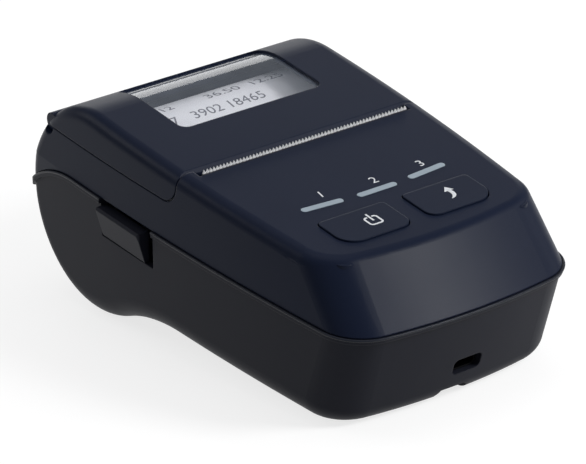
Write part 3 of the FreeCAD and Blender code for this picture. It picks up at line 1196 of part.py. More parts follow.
for thing in doc.Objects:
    if "Invalid" in thing.State or "Error" in thing.State:
        raise RuntimeError("object in error: %s" % thing.Name)
os.makedirs("parts", exist_ok=True)
for thing in nodes:
    if thing.Shape.isNull() or not thing.Shape.isValid():
        raise RuntimeError("bad shape: %s" % thing.Label)
    thing.Placement = rest.multiply(thing.Placement)
    thing.Shape.exportStep("parts/%s.step" % thing.Label)
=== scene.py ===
"""Looks of the receipt printer: finishes for every piece, panel and paper print, studio."""
import json
import math

import bmesh
import bpy
from mathutils import Matrix, Vector


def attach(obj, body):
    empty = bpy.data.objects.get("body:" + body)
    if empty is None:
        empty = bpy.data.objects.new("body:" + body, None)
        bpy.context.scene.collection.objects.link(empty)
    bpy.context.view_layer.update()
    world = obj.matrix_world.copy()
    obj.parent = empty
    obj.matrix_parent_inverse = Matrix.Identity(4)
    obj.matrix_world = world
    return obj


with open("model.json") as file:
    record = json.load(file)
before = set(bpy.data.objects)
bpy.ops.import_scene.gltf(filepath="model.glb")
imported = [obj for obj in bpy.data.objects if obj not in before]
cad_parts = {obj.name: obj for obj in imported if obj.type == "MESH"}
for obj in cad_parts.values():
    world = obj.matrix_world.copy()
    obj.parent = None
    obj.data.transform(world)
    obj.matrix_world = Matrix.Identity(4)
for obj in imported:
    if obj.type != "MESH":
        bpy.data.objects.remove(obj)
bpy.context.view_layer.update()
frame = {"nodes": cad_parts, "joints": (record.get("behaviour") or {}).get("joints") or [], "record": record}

scene = bpy.context.scene
record = frame["record"]
joints = {joint["name"]: joint for joint in frame["joints"]}

# Machine frame, in millimetres: X across, Y to the rear from the tear line, Z up from the seam
MM = 1000.0
TEAR_HEIGHT = 17.05
CROWN_SLOPE = math.tan(math.radians(2.58))
PLATEN = Vector((0.0, 8.3, 7.5))
HEAD_FACE = 2.5
KEY_PROUD = 0.35
ROLL_RADIUS = 21.3

press = joints["power_press"]["axis"]
level = Matrix.Rotation(math.atan2(press[1], -press[2]), 4, "X") @ Matrix.Scale(1 / MM, 4)
rest = Matrix.Translation(Vector(joints["platen_spin"]["pos_m"]) - level @ PLATEN) @ level
to_machine = rest.inverted()


# Finishes

class Finish:
    """A procedural material, with short names for the nodes that the finishes share."""

    def __init__(self, name):
        self.material = bpy.data.materials.new(name)
        self.material.use_nodes = True
        self.tree = self.material.node_tree
        self.shader = self.tree.nodes["Principled BSDF"]
        self.output = self.tree.nodes["Material Output"]
        self.place = self.add("ShaderNodeTexCoord").outputs["Object"]
        self.normal = None

    def add(self, kind, **values):
        node = self.tree.nodes.new(kind)
        for key, value in values.items():
            if key in node.inputs:
                node.inputs[key].default_value = value
            else:
                setattr(node, key, value)
        return node

    def link(self, source, target):
        self.tree.links.new(source, target)

    def set(self, **values):
        for key, value in values.items():
            self.shader.inputs[key.replace("_", " ")].default_value = value

    def stretched(self, x, y, z):
        """Coordinates in millimetres, scaled along each world axis; Y and Z are tilted from the machine's by
        its rest pose.
        """
        mapping = self.add("ShaderNodeMapping", vector_type="POINT")
        mapping.inputs["Scale"].default_value = (x * MM, y * MM, z * MM)
        self.link(self.place, mapping.inputs["Vector"])
        return mapping.outputs["Vector"]

    def noise(self, size, detail=2.0, roughness=0.5, along=None, distortion=0.0):
        """Noise with features of about the given size in millimetres."""
        node = self.add("ShaderNodeTexNoise", Scale=1.0 / size, Detail=detail, Roughness=roughness,
                        Distortion=distortion)
        self.link(along or self.stretched(1, 1, 1), node.inputs["Vector"])
        return node.outputs["Fac"]

    def ramp(self, value, *stops):
        """Grey or colour steps along a value."""
        node = self.add("ShaderNodeValToRGB")
        steps = node.color_ramp.elements
        while len(steps) < len(stops):
            steps.new(0.5)
        for step, (at, tone) in zip(steps, stops):
            step.position = at
            step.color = (*tone, 1.0) if isinstance(tone, tuple) else (tone, tone, tone, 1.0)
        self.link(value, node.inputs["Fac"])
        return node.outputs["Color"]

    def maths(self, operation, first, second):
        node = self.add("ShaderNodeMath", operation=operation)
        for socket, value in zip(node.inputs, (first, second)):
            if isinstance(value, (int, float)):
                socket.default_value = value
            else:
                self.link(value, socket)
        return node.outputs["Value"]

    def span(self, value, low, high):
        """Map a value of 0 to 1 onto a range."""
        node = self.add("ShaderNodeMapRange")
        node.inputs["To Min"].default_value = low
        node.inputs["To Max"].default_value = high
        self.link(value, node.inputs["Value"])
        return node.outputs["Result"]

    def blend(self, amount, first, second):
        """Colour mix, each colour a tuple or a socket."""
        node = self.add("ShaderNodeMix", data_type="RGBA")
        self.link(amount, node.inputs[0])
        for socket, value in ((node.inputs[6], first), (node.inputs[7], second)):
            if isinstance(value, tuple):
                socket.default_value = (*value, 1.0)
            else:
                self.link(value, socket)
        return node.outputs[2]

    def bump(self, height, depth, strength=1.0):
        """Relief of a depth in millimetres, on top of earlier relief."""
        node = self.add("ShaderNodeBump", Strength=strength, Distance=depth / MM)
        self.link(height, node.inputs["Height"])
        if self.normal is not None:
            self.link(self.normal, node.inputs["Normal"])
        self.normal = node.outputs["Normal"]

    def done(self, colour, roughness):
        self.link(colour, self.shader.inputs["Base Color"])
        self.link(roughness, self.shader.inputs["Roughness"])
        if self.normal is not None:
            self.link(self.normal, self.shader.inputs["Normal"])
        return self.material


def tint(tone, factor):
    """A colour made lighter or darker."""
    return tuple(min(channel * factor, 1.0) for channel in tone)


def moulded(name, tone, roughness, grain=0.012, specular=0.5, wear=0.35):
    """Moulded plastic: spark-eroded grain, softened edges, slow change of tone, rubbed patches."""
    f = Finish(name)
    slow = f.noise(22.0, 3.0)
    speck = f.noise(0.22, 2.0, 0.6)
    rub = f.noise(3.2, 5.0, 0.62, f.stretched(0.35, 1.0, 1.0), 0.6)
    worn = f.ramp(rub, (0.60, 0.0), (0.78, wear))
    colour = f.blend(slow, tint(tone, 0.90), tint(tone, 1.10))
    colour = f.blend(f.ramp(speck, (0.35, 0.0), (0.75, 0.28)), colour, tint(tone, 1.45))
    colour = f.blend(worn, colour, tint(tone, 1.35))
    dull = f.maths("ADD", f.span(slow, roughness - 0.035, roughness + 0.035),
                   f.span(speck, -0.04, 0.04))
    f.normal = f.add("ShaderNodeBevel", samples=6, Radius=0.4 / MM).outputs["Normal"]
    f.bump(speck, grain, 0.55)
    f.bump(slow, 0.02, 0.3)
    f.set(Specular_IOR_Level=specular)
    return f.done(colour, dull)


def metal(name, tone, roughness, along=(0.05, 1.0, 1.0), size=0.12, depth=0.004):
    """Worked metal with fine lines along one direction and faint stains."""
    f = Finish(name)
    lines = f.noise(size, 3.0, 0.6, f.stretched(*along))
    stain = f.noise(6.0, 4.0)
    colour = f.blend(stain, tint(tone, 0.88), tint(tone, 1.08))
    colour = f.blend(f.ramp(lines, (0.3, 0.0), (0.7, 0.4)), colour, tint(tone, 0.72))
    f.bump(lines, depth, 0.6)
    f.set(Metallic=1.0)
    return f.done(colour, f.span(lines, roughness - 0.08, roughness + 0.1))


def teeth_painted_glint_shade():
    """Tear bar steel teeth: a near-white colour that paints the glint of the ground tips, turning near black
    at and just above the roots as painted shade.
    """
    f = Finish("teeth_painted_glint_shade")
    lines = f.noise(0.10, 3.0, 0.6, f.stretched(0.4, 1.0, 1.0))
    spot = f.add("ShaderNodeSeparateXYZ")
    f.link(f.place, spot.inputs["Vector"])
    root = (rest @ Vector((0.0, 0.0, TEAR_HEIGHT))).z
    rise = f.maths("MULTIPLY", f.maths("SUBTRACT", spot.outputs["Z"], root), MM)
    # painted highlight: the teeth are coloured near white for their glint, not lit as metal
    colour = f.blend(lines, (0.90, 0.90, 0.91), (0.97, 0.97, 0.98))
    # painted shade: near black at the roots and on the bar below them
    colour = f.blend(f.ramp(rise, (0.10, 1.0), (0.34, 0.0)), colour, (0.035, 0.035, 0.040))
    f.bump(lines, 0.004, 0.5)
    f.set(Specular_IOR_Level=0.8)
    return f.done(colour, f.span(lines, 0.30, 0.45))


def lens():
    """Diffusing indicator plastic with a fine ribbed back that shows through."""
    f = Finish("indicator_lens")
    ribs = f.add("ShaderNodeTexWave", bands_direction="X", Scale=1.1, Distortion=0.4, Detail=1.0)
    f.link(f.stretched(1, 1, 1), ribs.inputs["Vector"])
    cloud = f.noise(2.4, 3.0)
    colour = f.blend(cloud, (0.25, 0.31, 0.37), (0.33, 0.40, 0.46))
    shine = f.ramp(ribs.outputs["Fac"], (0.4, 0.0), (0.9, 0.22))
    colour = f.blend(shine, colour, (0.43, 0.49, 0.54))
    f.bump(f.noise(0.3), 0.004, 0.4)
    f.set(Coat_Weight=0.25, Coat_Roughness=0.12)
    return f.done(colour, f.span(cloud, 0.30, 0.40))


def window():
    """Clear cover window: see-through, with gloss, haze and hairline rubs where light enters it."""
    f = Finish("window_clear")
    haze = f.noise(7.0, 4.0)
    hair = f.noise(0.5, 4.0, 0.7, f.stretched(0.06, 1.0, 1.0), 0.3)
    f.bump(haze, 0.02, 0.3)
    dull = f.span(hair, 0.03, 0.10)
    f.done(f.blend(haze, (0.46, 0.54, 0.68), (0.54, 0.62, 0.76)), dull)
    clear = f.add("ShaderNodeBsdfTransparent", Color=(0.99, 0.99, 1.0, 1.0))
    gloss = f.add("ShaderNodeBsdfGlossy", Color=(1.0, 1.0, 1.0, 1.0))
    f.link(dull, gloss.inputs["Roughness"])
    f.link(f.normal, gloss.inputs["Normal"])
    edge = f.add("ShaderNodeFresnel", IOR=1.5)
    outward = f.maths("SUBTRACT", 1.0, f.add("ShaderNodeNewGeometry").outputs["Backfacing"])
    glass = f.add("ShaderNodeMixShader")
    f.link(f.maths("MULTIPLY", edge.outputs["Fac"], outward), glass.inputs["Fac"])
    f.link(clear.outputs["BSDF"], glass.inputs[1])
    f.link(gloss.outputs["BSDF"], glass.inputs[2])
    rubbed = f.add("ShaderNodeMixShader")
    veil = f.maths("MULTIPLY", f.span(haze, 0.07, 0.17), outward)
    f.link(veil, rubbed.inputs["Fac"])
    f.link(glass.outputs["Shader"], rubbed.inputs[1])
    f.link(f.shader.outputs["BSDF"], rubbed.inputs[2])
    f.link(rubbed.outputs["Shader"], f.output.inputs["Surface"])
    return f.material


def rubber():
    """Ground rubber sleeve with grinding lines round it."""
    f = Finish("platen_rubber")
    lines = f.noise(0.08, 2.0, 0.6, f.stretched(1.0, 0.05, 0.05))
    dust = f.noise(3.0, 4.0)
    dusty = f.ramp(dust, (0.45, 0.0), (0.8, 0.5))
    colour = f.blend(dusty, (0.014, 0.014, 0.016), (0.035, 0.034, 0.034))
    f.bump(lines, 0.01, 0.6)
    f.set(Specular_IOR_Level=0.35)
    return f.done(colour, f.span(lines, 0.55, 0.75))


def acetal():
    """Black gear plastic with a waxy sheen and faint flow lines."""
    f = Finish("gear_acetal")
    flow = f.noise(1.6, 4.0, 0.6, f.stretched(0.3, 1.0, 1.0), 0.8)
    colour = f.blend(flow, (0.024, 0.024, 0.026), (0.036, 0.036, 0.038))
    f.bump(f.noise(0.2), 0.005, 0.4)
    f.set(Specular_IOR_Level=0.4)
    return f.done(colour, f.span(flow, 0.34, 0.46))


def paper():
    """Thermal paper: smooth coated sheet with faint fibres; on the cut ends it shows its turns."""
    f = Finish("thermal_paper")
    fibre = f.noise(0.35, 4.0, 0.65, f.stretched(0.5, 1.0, 1.0))
    cloud = f.noise(9.0, 3.0)
    colour = f.blend(cloud, (0.91, 0.91, 0.92), (0.95, 0.95, 0.95))
    colour = f.blend(f.ramp(fibre, (0.5, 0.0), (0.8, 0.14)), colour, (0.76, 0.76, 0.77))
    turns = f.add("ShaderNodeTexWave", wave_type="RINGS", rings_direction="X", Scale=2.6,
                  Distortion=0.5)
    shift = f.add("ShaderNodeMapping", vector_type="POINT")
    shift.inputs["Scale"].default_value = (0.0, MM, MM)
    axis = joints["roll_spin"]["pos_m"]
    shift.inputs["Location"].default_value = (0.0, -axis[1] * MM, -axis[2] * MM)
    f.link(f.place, shift.inputs["Vector"])
    f.link(shift.outputs["Vector"], turns.inputs["Vector"])
    facing = f.add("ShaderNodeSeparateXYZ")
    f.link(f.add("ShaderNodeNewGeometry").outputs["Normal"], facing.inputs["Vector"])
    ends = f.maths("GREATER_THAN", f.maths("ABSOLUTE", facing.outputs["X"], 0.0), 0.9)
    rings = f.maths("MULTIPLY", ends, f.ramp(turns.outputs["Fac"], (0.3, 0.0), (0.8, 0.5)))
    colour = f.blend(rings, colour, (0.58, 0.57, 0.56))
    f.bump(fibre, 0.006, 0.4)
    f.set(Specular_IOR_Level=0.4)
    return f.done(colour, f.span(cloud, 0.42, 0.55))


def cardboard():
    """Spiral-wound core board with fibres and a slanted butt seam."""
    f = Finish("core_board")
    fibre = f.noise(0.5, 5.0, 0.7, f.stretched(0.4, 1.0, 1.0))
    seam = f.add("ShaderNodeTexWave", bands_direction="DIAGONAL", Scale=0.02)
    f.link(f.stretched(1, 1, 1), seam.inputs["Vector"])
    colour = f.blend(fibre, (0.30, 0.22, 0.14), (0.46, 0.36, 0.25))
    butt = f.ramp(seam.outputs["Fac"], (0.0, 0.7), (0.05, 0.0))
    colour = f.blend(butt, colour, (0.20, 0.14, 0.09))
    f.bump(fibre, 0.03, 0.6)
    return f.done(colour, f.span(fibre, 0.75, 0.95))


def circuit_board():
    """Solder mask over a grid of tracks, with pads and a trace of weave."""
    f = Finish("circuit_board")
    flat = f.stretched(1, 1, 1)
    grid = f.add("ShaderNodeTexBrick", Scale=0.55)
    grid.inputs["Mortar Size"].default_value = 0.05
    grid.inputs["Color1"].default_value = (0, 0, 0, 1)
    grid.inputs["Color2"].default_value = (0.15, 0.15, 0.15, 1)
    grid.inputs["Mortar"].default_value = (1, 1, 1, 1)
    f.link(flat, grid.inputs["Vector"])
    pads = f.add("ShaderNodeTexVoronoi", Scale=0.5, Randomness=0.6)
    f.link(flat, pads.inputs["Vector"])
    dots = f.ramp(pads.outputs["Distance"], (0.16, 1.0), (0.20, 0.0))
    cloud = f.noise(5.0, 3.0)
    colour = f.blend(cloud, (0.012, 0.095, 0.045), (0.020, 0.130, 0.062))
    colour = f.blend(f.maths("MULTIPLY", grid.outputs["Color"], 0.6), colour, (0.035, 0.22, 0.10))
    colour = f.blend(dots, colour, (0.62, 0.60, 0.55))
    f.bump(grid.outputs["Color"], 0.03, 0.5)
    return f.done(colour, f.span(cloud, 0.25, 0.38))


def film(name, tone, stripe, count):
    """Flat film with conductors that run along it."""
    f = Finish(name)
    lines = f.add("ShaderNodeTexWave", bands_direction="X", Scale=count)
    f.link(f.stretched(1, 1, 1), lines.inputs["Vector"])
    cloud = f.noise(4.0, 3.0)
    colour = f.blend(cloud, tint(tone, 0.9), tint(tone, 1.1))
    colour = f.blend(f.ramp(lines.outputs["Fac"], (0.5, 0.0), (0.6, 0.8)), colour, stripe)
    f.bump(lines.outputs["Fac"], 0.02, 0.5)
    return f.done(colour, f.span(cloud, 0.22, 0.34))


def shrink_wrap():
    """Battery shrink film: glossy, with tight creases and a pale plain band."""
    band_half = 7.0
    f = Finish("battery_film")
    crease = f.noise(2.2, 4.0, 0.6, f.stretched(0.25, 1.0, 1.0), 1.2)
    band = f.add("ShaderNodeSeparateXYZ")
    f.link(f.stretched(1, 1, 1), band.inputs["Vector"])
    pale = f.maths("LESS_THAN", f.maths("ABSOLUTE", band.outputs["X"], 0.0), band_half)
    colour = f.blend(crease, (0.016, 0.034, 0.105), (0.028, 0.052, 0.140))
    colour = f.blend(pale, colour, f.blend(crease, (0.55, 0.56, 0.58), (0.63, 0.64, 0.65)))
    f.bump(crease, 0.08, 0.5)
    f.set(Coat_Weight=0.4, Coat_Roughness=0.08)
    return f.done(colour, f.span(crease, 0.18, 0.32))


def glaze():
    """Glazed ceramic of the print head, with the brown heater line along its bump."""
    heater_half = 0.5 / MM
    f = Finish("head_glaze")
    cloud = f.noise(1.8, 4.0)
    spot = f.add("ShaderNodeSeparateXYZ")
    f.link(f.place, spot.inputs["Vector"])
    line_at = (rest @ Vector((0.0, HEAD_FACE, PLATEN.z))).z
    off = f.maths("ABSOLUTE", f.maths("SUBTRACT", spot.outputs["Z"], line_at), 0.0)
    heater = f.maths("LESS_THAN", off, heater_half)
    colour = f.blend(cloud, (0.62, 0.62, 0.59), (0.72, 0.72, 0.69))
    colour = f.blend(heater, colour, (0.10, 0.055, 0.03))
    f.bump(cloud, 0.01, 0.3)
    f.set(Coat_Weight=0.5, Coat_Roughness=0.05)
    return f.done(colour, f.span(cloud, 0.16, 0.28))


def ink(name, tone, roughness):
    """Printed ink with a slight mottle."""
    f = Finish(name)
    mottle = f.noise(0.4, 4.0, 0.6)
    colour = f.blend(mottle, tint(tone, 0.86), tint(tone, 1.08))
    f.bump(mottle, 0.004, 0.4)
    return f.done(colour, f.span(mottle, roughness - 0.06, roughness + 0.06))


finishes = {
    "case_navy": moulded("case_navy", (0.0080, 0.0122, 0.0285), 0.36, specular=0.08),
    "case_charcoal": moulded("case_charcoal", (0.0128, 0.0140, 0.0215), 0.46, grain=0.016,
                             specular=0.09),
    "key_plastic": moulded("key_plastic", (0.0086, 0.0130, 0.0290), 0.38, grain=0.009,
                           specular=0.075),
    "lens_plastic": lens(),
    "window_clear": window(),
    "steel": metal("bright_steel", (0.66, 0.67, 0.69), 0.28),
    "screw_steel": metal("zinc_screws", (0.42, 0.42, 0.44), 0.34, (1.0, 1.0, 0.2), 0.3),
    "motor_metal": metal("motor_can", (0.52, 0.52, 0.54), 0.36, (1.0, 0.08, 0.08), 0.2),
    "rubber": rubber(),
    "brass": metal("turned_brass", (0.66, 0.47, 0.19), 0.26, (1.0, 0.06, 0.06), 0.1),
    "gear_plastic": acetal(),
    "frame_plastic": moulded("frame_plastic", (0.030, 0.030, 0.033), 0.55, grain=0.02),
    "bin_plastic": moulded("bin_plastic", (0.045, 0.050, 0.060), 0.48),
    "head_ceramic": glaze(),
    "aluminium": metal("milled_aluminium", (0.70, 0.71, 0.73), 0.30, (0.04, 1.0, 1.0), 0.15),
    "chip_black": moulded("chip_black", (0.012, 0.012, 0.013), 0.45, grain=0.008),
    "paper": paper(),
    "cardboard": cardboard(),
    "board_green": circuit_board(),
    "connector": moulded("connector_nylon", (0.62, 0.60, 0.52), 0.38, grain=0.006),
    "ribbon": film("flex_ribbon", (0.48, 0.24, 0.045), (0.62, 0.38, 0.12), 0.9),
    "battery_wrap": shrink_wrap(),
}
own_finish = {
    "tear_bar": teeth_painted_glint_shade(),
    # painted shade: the socket shell is coloured near black for the shade inside its opening
    "usb_socket": metal("socket_painted_shade", (0.030, 0.030, 0.033), 0.42),
}
for part in record["subparts"]:
    mesh = frame["nodes"][part["node"]].data
    mesh.materials.clear()
    mesh.materials.append(own_finish.get(part["node"]) or finishes[part["material_slot"]])


# Prints: thin closed plates on the panel, the keys and the paper

PRINT_THICK = 0.03
PAPER_PRINT_THICK = 0.02
CAP_RATIO = 0.70
MERGE = 0.002
STRIPS_PER_MM = 2


def to_piece(name, shape):
    """Put a finished shape into the scene."""
    bmesh.ops.recalc_face_normals(shape, faces=shape.faces)
    mesh = bpy.data.meshes.new(name)
    shape.to_mesh(mesh)
    shape.free()
    piece = bpy.data.objects.new(name, mesh)
    scene.collection.objects.link(piece)
    return piece


def plate(name, outlines, thick, bend):
    """Flat outlines in millimetres turned into one thin closed mesh, each point laid by bend."""
    shape = bmesh.new()
    for outline in outlines:
        low = [shape.verts.new(rest @ Vector(bend(x, y, 0.0))) for x, y in outline]
        high = [shape.verts.new(rest @ Vector(bend(x, y, thick))) for x, y in outline]
        for i in range(len(outline) - 1):
            shape.faces.new((low[i], low[i + 1], high[i + 1], high[i]))
        shape.faces.new((low[-1], low[0], high[0], high[-1]))
        shape.faces.new(high)
        shape.faces.new(low[::-1])
    return to_piece(name, shape)


def stroke(points, width):
    """Closed outline of a line through points, of one width or a width for each point."""
    widths = width if isinstance(width, list) else [width] * len(points)
    left, right = [], []
    for i, point in enumerate(points):
        before = Vector(points[max(i - 1, 0)])
        after = Vector(points[min(i + 1, len(points) - 1)])
        run = (after - before).normalized()
        side = Vector((-run.y, run.x)) * widths[i] / 2
        left.append(tuple(Vector(point) + side))
        right.append(tuple(Vector(point) - side))
    return left + right[::-1]


def arc(x, y, radius, start, end, steps):
    """Points of an arc round a middle, from one angle to another in degrees."""
    angles = [math.radians(start + (end - start) * i / steps) for i in range(steps + 1)]
    return [(x + radius * math.cos(angle), y + radius * math.sin(angle)) for angle in angles]


def numerals(name, lines, thick, bend):
    """Plain printed numerals: each line is text, left end, base line, height, turn in degrees."""
    shape = bmesh.new()
    for text, x, y, tall, angle in lines:
        letters = bpy.data.curves.new(name, "FONT")
        letters.body = text
        letters.size = tall / CAP_RATIO
        letters.resolution_u = 3
        letters.fill_mode = "FRONT"
        holder = bpy.data.objects.new(name + "_letters", letters)
        flat = bpy.data.meshes.new_from_object(holder)
        spin = Matrix.Translation((x, y, 0.0)) @ Matrix.Rotation(math.radians(angle), 4, "Z")
        flat.transform(spin)
        shape.from_mesh(flat)
        bpy.data.objects.remove(holder)
        bpy.data.curves.remove(letters)
        bpy.data.meshes.remove(flat)
    bmesh.ops.remove_doubles(shape, verts=shape.verts, dist=MERGE)
    # cut into strips, so that the print can follow the roll
    levels = [vert.co.y * STRIPS_PER_MM for vert in shape.verts]
    for i in range(int(min(levels)) - 1, int(max(levels)) + 2):
        bmesh.ops.bisect_plane(shape, geom=shape.verts[:] + shape.edges[:] + shape.faces[:],
                               plane_co=(0.0, i / STRIPS_PER_MM, 0.0), plane_no=(0.0, 1.0, 0.0))
    raised = bmesh.ops.extrude_face_region(shape, geom=shape.faces[:])
    top = {item for item in raised["geom"] if isinstance(item, bmesh.types.BMVert)}
    for vert in shape.verts:
        vert.co = rest @ Vector(bend(vert.co.x, vert.co.y, thick if vert in top else 0.0))
    return to_piece(name, shape)


def on_panel(lift):
    """How a flat point is laid on the sloping panel, or on what stands above it by lift."""
    return lambda x, y, rise: (x, y, TEAR_HEIGHT + CROWN_SLOPE * y + lift + rise)


white = ink("white_print", (0.72, 0.74, 0.77), 0.5)
grey = ink("thermal_print", (0.17, 0.17, 0.19), 0.55)

# power sign: a rounded square open at its rear side, with a bar through the opening
power_x, power_y = -9.8, -39.6
ring_half, ring_corner, ring_gap, ring_line = 1.7, 0.75, 0.62, 0.5
ring_flat = ring_half - ring_corner
ring = [(power_x + ring_gap, power_y + ring_half)]
for quarter, (a, b) in enumerate(((1, 1), (1, -1), (-1, -1), (-1, 1))):
    ring += arc(power_x + a * ring_flat, power_y + b * ring_flat, ring_corner,
                90 - 90 * quarter, -90 * quarter, 8)
ring.append((power_x - ring_gap, power_y + ring_half))
bar = [(power_x, power_y - 0.1), (power_x, power_y + 3.2)]
power_icon = plate("power_icon", [stroke(ring, ring_line), stroke(bar, ring_line)],
                   PRINT_THICK, on_panel(KEY_PROUD))

# feed sign: an arrow to the rear on a bent tail that tapers off; tail points with their widths
feed_x, feed_y = 12.9, -38.9
tail = [(0.45, 1.1, 1.0), (0.60, 0.4, 1.02), (0.62, -0.2, 1.04), (0.50, -0.9, 1.02),
        (0.20, -1.5, 0.92), (-0.35, -2.05, 0.65), (-1.2, -2.45, 0.12)]
arrow = [(feed_x - 0.85, feed_y + 0.9), (feed_x + 1.85, feed_y + 0.9), (feed_x + 0.55, feed_y + 2.8)]
feed_icon = plate("feed_icon", [
    stroke([(feed_x + x, feed_y + y) for x, y, _ in tail], [width for _, _, width in tail]), arrow],
    PRINT_THICK, on_panel(KEY_PROUD))

bar_numbers = numerals("bar_numbers", [("1", -13.6, -23.7, 2.7, -8), ("2", 1.0, -25.0, 2.7, -3),
                                       ("3", 15.3, -24.5, 2.7, 2)], PRINT_THICK, on_panel(0.0))
for piece, body in ((power_icon, "power_key"), (feed_icon, "feed_key"), (bar_numbers, "base")):
    piece.data.materials.append(white)
    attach(piece, body)

roll_axis = to_machine @ Vector(joints["roll_spin"]["pos_m"])


def on_roll(x, y, rise):
    """Wrap a flat point round the paper roll, y running over its top to the rear."""
    turn = y / ROLL_RADIUS
    reach = ROLL_RADIUS + rise
    return (x, roll_axis.y + reach * math.sin(turn), roll_axis.z + reach * math.cos(turn))


receipt_print = numerals("receipt_print", [
    ("0412", -17.5, 2.6, 3.0, 0),
    ("36.50  12.25", 0.5, 2.4, 3.3, 0),
    ("7   3902 18465", -14.2, -4.6, 3.2, 0)], PAPER_PRINT_THICK, on_roll)
receipt_print.data.materials.append(grey)
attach(receipt_print, "roll")


# Trim: the rolled top edge of the belt lip, led along the lower case

BEAD_RADIUS = 0.33
BEAD_INSET = 0.22
RIM_MERGE = 0.0005
PLAN_MIDDLE = -5.0
RIM_REACH = 32.0
SEAM_BELOW = -1.0
SEAM_DIPS_FROM = 40.0
LEVEL_FROM, UPRIGHT_TO, FACING_FROM = 0.6, 0.4, 0.4
FEWEST_POINTS = 4


def rim_runs(mesh):
    """Runs of points just inside the outer top edge of the lip, in the machine frame.

    The edge joins an upright outer wall to a level top, and lies at the seam, which dips at the rear.
    """
    shape = bmesh.new()
    shape.from_mesh(mesh)
    shape.transform(to_machine)
    bmesh.ops.remove_doubles(shape, verts=shape.verts, dist=RIM_MERGE)
    shape.normal_update()
    links = {}
    for edge in shape.edges:
        if len(edge.link_faces) != 2:
            continue
        wall, top = sorted(edge.link_faces, key=lambda face: face.normal.z)
        middle = (edge.verts[0].co + edge.verts[1].co) / 2
        outward = Vector((middle.x, middle.y - PLAN_MIDDLE, 0.0))
        corner = top.normal.z > LEVEL_FROM and wall.normal.z < UPRIGHT_TO
        outer = wall.normal.dot(outward) > FACING_FROM * outward.length
        at_seam = middle.z > SEAM_BELOW or middle.y > SEAM_DIPS_FROM
        if corner and outer and at_seam and outward.length > RIM_REACH:
            for vert in edge.verts:
                links.setdefault(vert, []).append((edge, wall.normal.copy(), top.normal.copy()))
    runs, used = [], set()
    for start in sorted(links, key=lambda vert: (len(links[vert]), vert.index)):
        run, vert = [], start
        while vert is not None:
            free = [link for link in links[vert] if link[0] not in used]
            wall, top = links[vert][0][1], links[vert][0][2]
            run.append(vert.co - BEAD_INSET * wall - BEAD_INSET * top)
            used.update(link[0] for link in free[:1])
            vert = free[0][0].other_vert(vert) if free else None
        if len(run) >= FEWEST_POINTS:
            runs.append(run)
    shape.free()
    return runs


bead = bpy.data.curves.new("seam_bead", "CURVE")
bead.dimensions = "3D"
bead.bevel_depth = BEAD_RADIUS / MM
bead.bevel_resolution = 3
bead.use_fill_caps = True
for run in rim_runs(frame["nodes"]["lower_case"].data):
    spline = bead.splines.new("POLY")
    spline.points.add(len(run) - 1)
    for point, spot in zip(spline.points, run):
        point.co = (*(rest @ spot), 1.0)
    spline.use_smooth = True
seam_bead = bpy.data.objects.new("seam_bead", bead)
scene.collection.objects.link(seam_bead)
bead.materials.append(moulded("seam_lip", (0.0125, 0.0150, 0.0235), 0.34, grain=0.006,
                              specular=0.20))
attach(seam_bead, "base")


# Studio: pale floor, soft boxes, camera at the photograph's angle

FLOOR_HALF, FLOOR_DROP = 6.0, 0.0003
FLOOR_TONE, FLOOR_GLOW = (0.32, 0.32, 0.32), 0.76
SKY_TONE, SKY_STRENGTH = (0.97, 0.98, 1.0, 1.0), 0.28


def matt(name, tone, glow):
    """Paper-like floor with a faint mottle, white to the eye and in reflections, that keeps shadows."""
    f = Finish(name)
    cloud = f.noise(60.0, 3.0)
    f.done(f.blend(cloud, tint(tone, 0.99), tint(tone, 1.01)), f.span(cloud, 0.85, 0.95))
    f.set(Specular_IOR_Level=0.1)
    ray = f.add("ShaderNodeLightPath").outputs
    seen = f.maths("MAXIMUM", ray["Is Camera Ray"],
                   f.maths("MAXIMUM", ray["Is Glossy Ray"], ray["Is Transmission Ray"]))
    light = f.add("ShaderNodeEmission", Strength=glow)
    both = f.add("ShaderNodeAddShader")
    plain = f.add("ShaderNodeMixShader")
    f.link(f.shader.outputs["BSDF"], both.inputs[0])
    f.link(light.outputs["Emission"], both.inputs[1])
    f.link(seen, plain.inputs["Fac"])
    f.link(f.shader.outputs["BSDF"], plain.inputs[1])
    f.link(both.outputs["Shader"], plain.inputs[2])
    f.link(plain.outputs["Shader"], f.output.inputs["Surface"])
    return f.material


floor_mesh = bpy.data.meshes.new("floor")
floor_mesh.from_pydata([(a * FLOOR_HALF, b * FLOOR_HALF, -FLOOR_DROP)
                        for a, b in ((-1, -1), (1, -1), (1, 1), (-1, 1))], [], [(0, 1, 2, 3)])
floor = bpy.data.objects.new("floor", floor_mesh)
scene.collection.objects.link(floor)
floor_mesh.materials.append(matt("floor_paper", FLOOR_TONE, FLOOR_GLOW))

world = bpy.data.worlds.new("studio")
scene.world = world
world.use_nodes = True
sky = world.node_tree.nodes["Background"].inputs
sky["Color"].default_value = SKY_TONE
sky["Strength"].default_value = SKY_STRENGTH


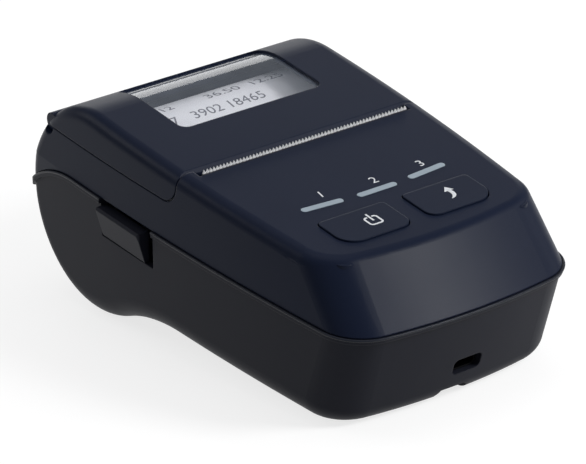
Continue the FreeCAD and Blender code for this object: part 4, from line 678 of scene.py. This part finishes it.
def soft_box(name, spot, aim, width, height, power):
    """Rectangular lamp: place, aim and size in metres, power in watts."""
    lamp = bpy.data.lights.new(name, "AREA")
    lamp.shape = "RECTANGLE"
    lamp.size = width
    lamp.size_y = height
    lamp.energy = power
    box = bpy.data.objects.new(name, lamp)
    box.location = spot
    box.rotation_euler = (Vector(aim) - Vector(spot)).to_track_quat("-Z", "Y").to_euler()
    scene.collection.objects.link(box)


soft_box("over_box", (0.05, 0.10, 0.80), (0.0, 0.0, 0.03), 0.6, 0.6, 1.0)
soft_box("front_box", (0.44, -0.68, 0.60), (0.0, -0.05, 0.03), 0.26, 0.28, 6.2)
soft_box("right_box", (0.75, -0.25, 0.40), (0.0, 0.0, 0.03), 0.4, 0.5, 0.9)
soft_box("rear_box", (0.64, 0.88, 0.32), (0.0, 0.03, 0.05), 0.8, 0.34, 1.5)
soft_box("left_box", (-0.50, 0.76, 0.56), (0.0, 0.0, 0.02), 0.4, 0.4, 1.3)

# Camera, solved from the photograph in the machine frame: the aim shows at the pixel CENTRE, at
# SCALE pixels per millimetre, and the eye is 1 / NEAR millimetres from it
AZIMUTH, ELEVATION = math.radians(36.0048), math.radians(28.1495)
SCALE, NEAR = 4.12198, 0.00105044
AIM, CENTRE = Vector((0.0, 0.0, -20.0)), Vector((306.803, 279.167))
WIDE, TALL = 586, 464
SENSOR = 36.0

back = Vector((-math.sin(AZIMUTH) * math.cos(ELEVATION), -math.cos(AZIMUTH) * math.cos(ELEVATION),
               math.sin(ELEVATION)))
right = Vector((math.cos(AZIMUTH), -math.sin(AZIMUTH), 0.0))
up = back.cross(right)
focal = SCALE / NEAR
eye = AIM + back / NEAR
toward = (right * (WIDE / 2 - CENTRE.x) - up * (TALL / 2 - CENTRE.y) - back * focal).normalized()
right = (right - toward * right.dot(toward)).normalized()
up = right.cross(toward)
turn = Matrix((right, up, -toward)).transposed()
tilt = level.to_3x3() * MM
lens_data = bpy.data.cameras.new("camera")
lens_data.sensor_width = SENSOR
lens_data.lens = focal / WIDE * SENSOR
lens_data.clip_end = 20.0
camera = bpy.data.objects.new("camera", lens_data)
camera.matrix_world = Matrix.Translation(rest @ eye) @ (tilt @ turn).to_4x4()
scene.collection.objects.link(camera)
scene.camera = camera
scene.view_settings.view_transform = "Standard"
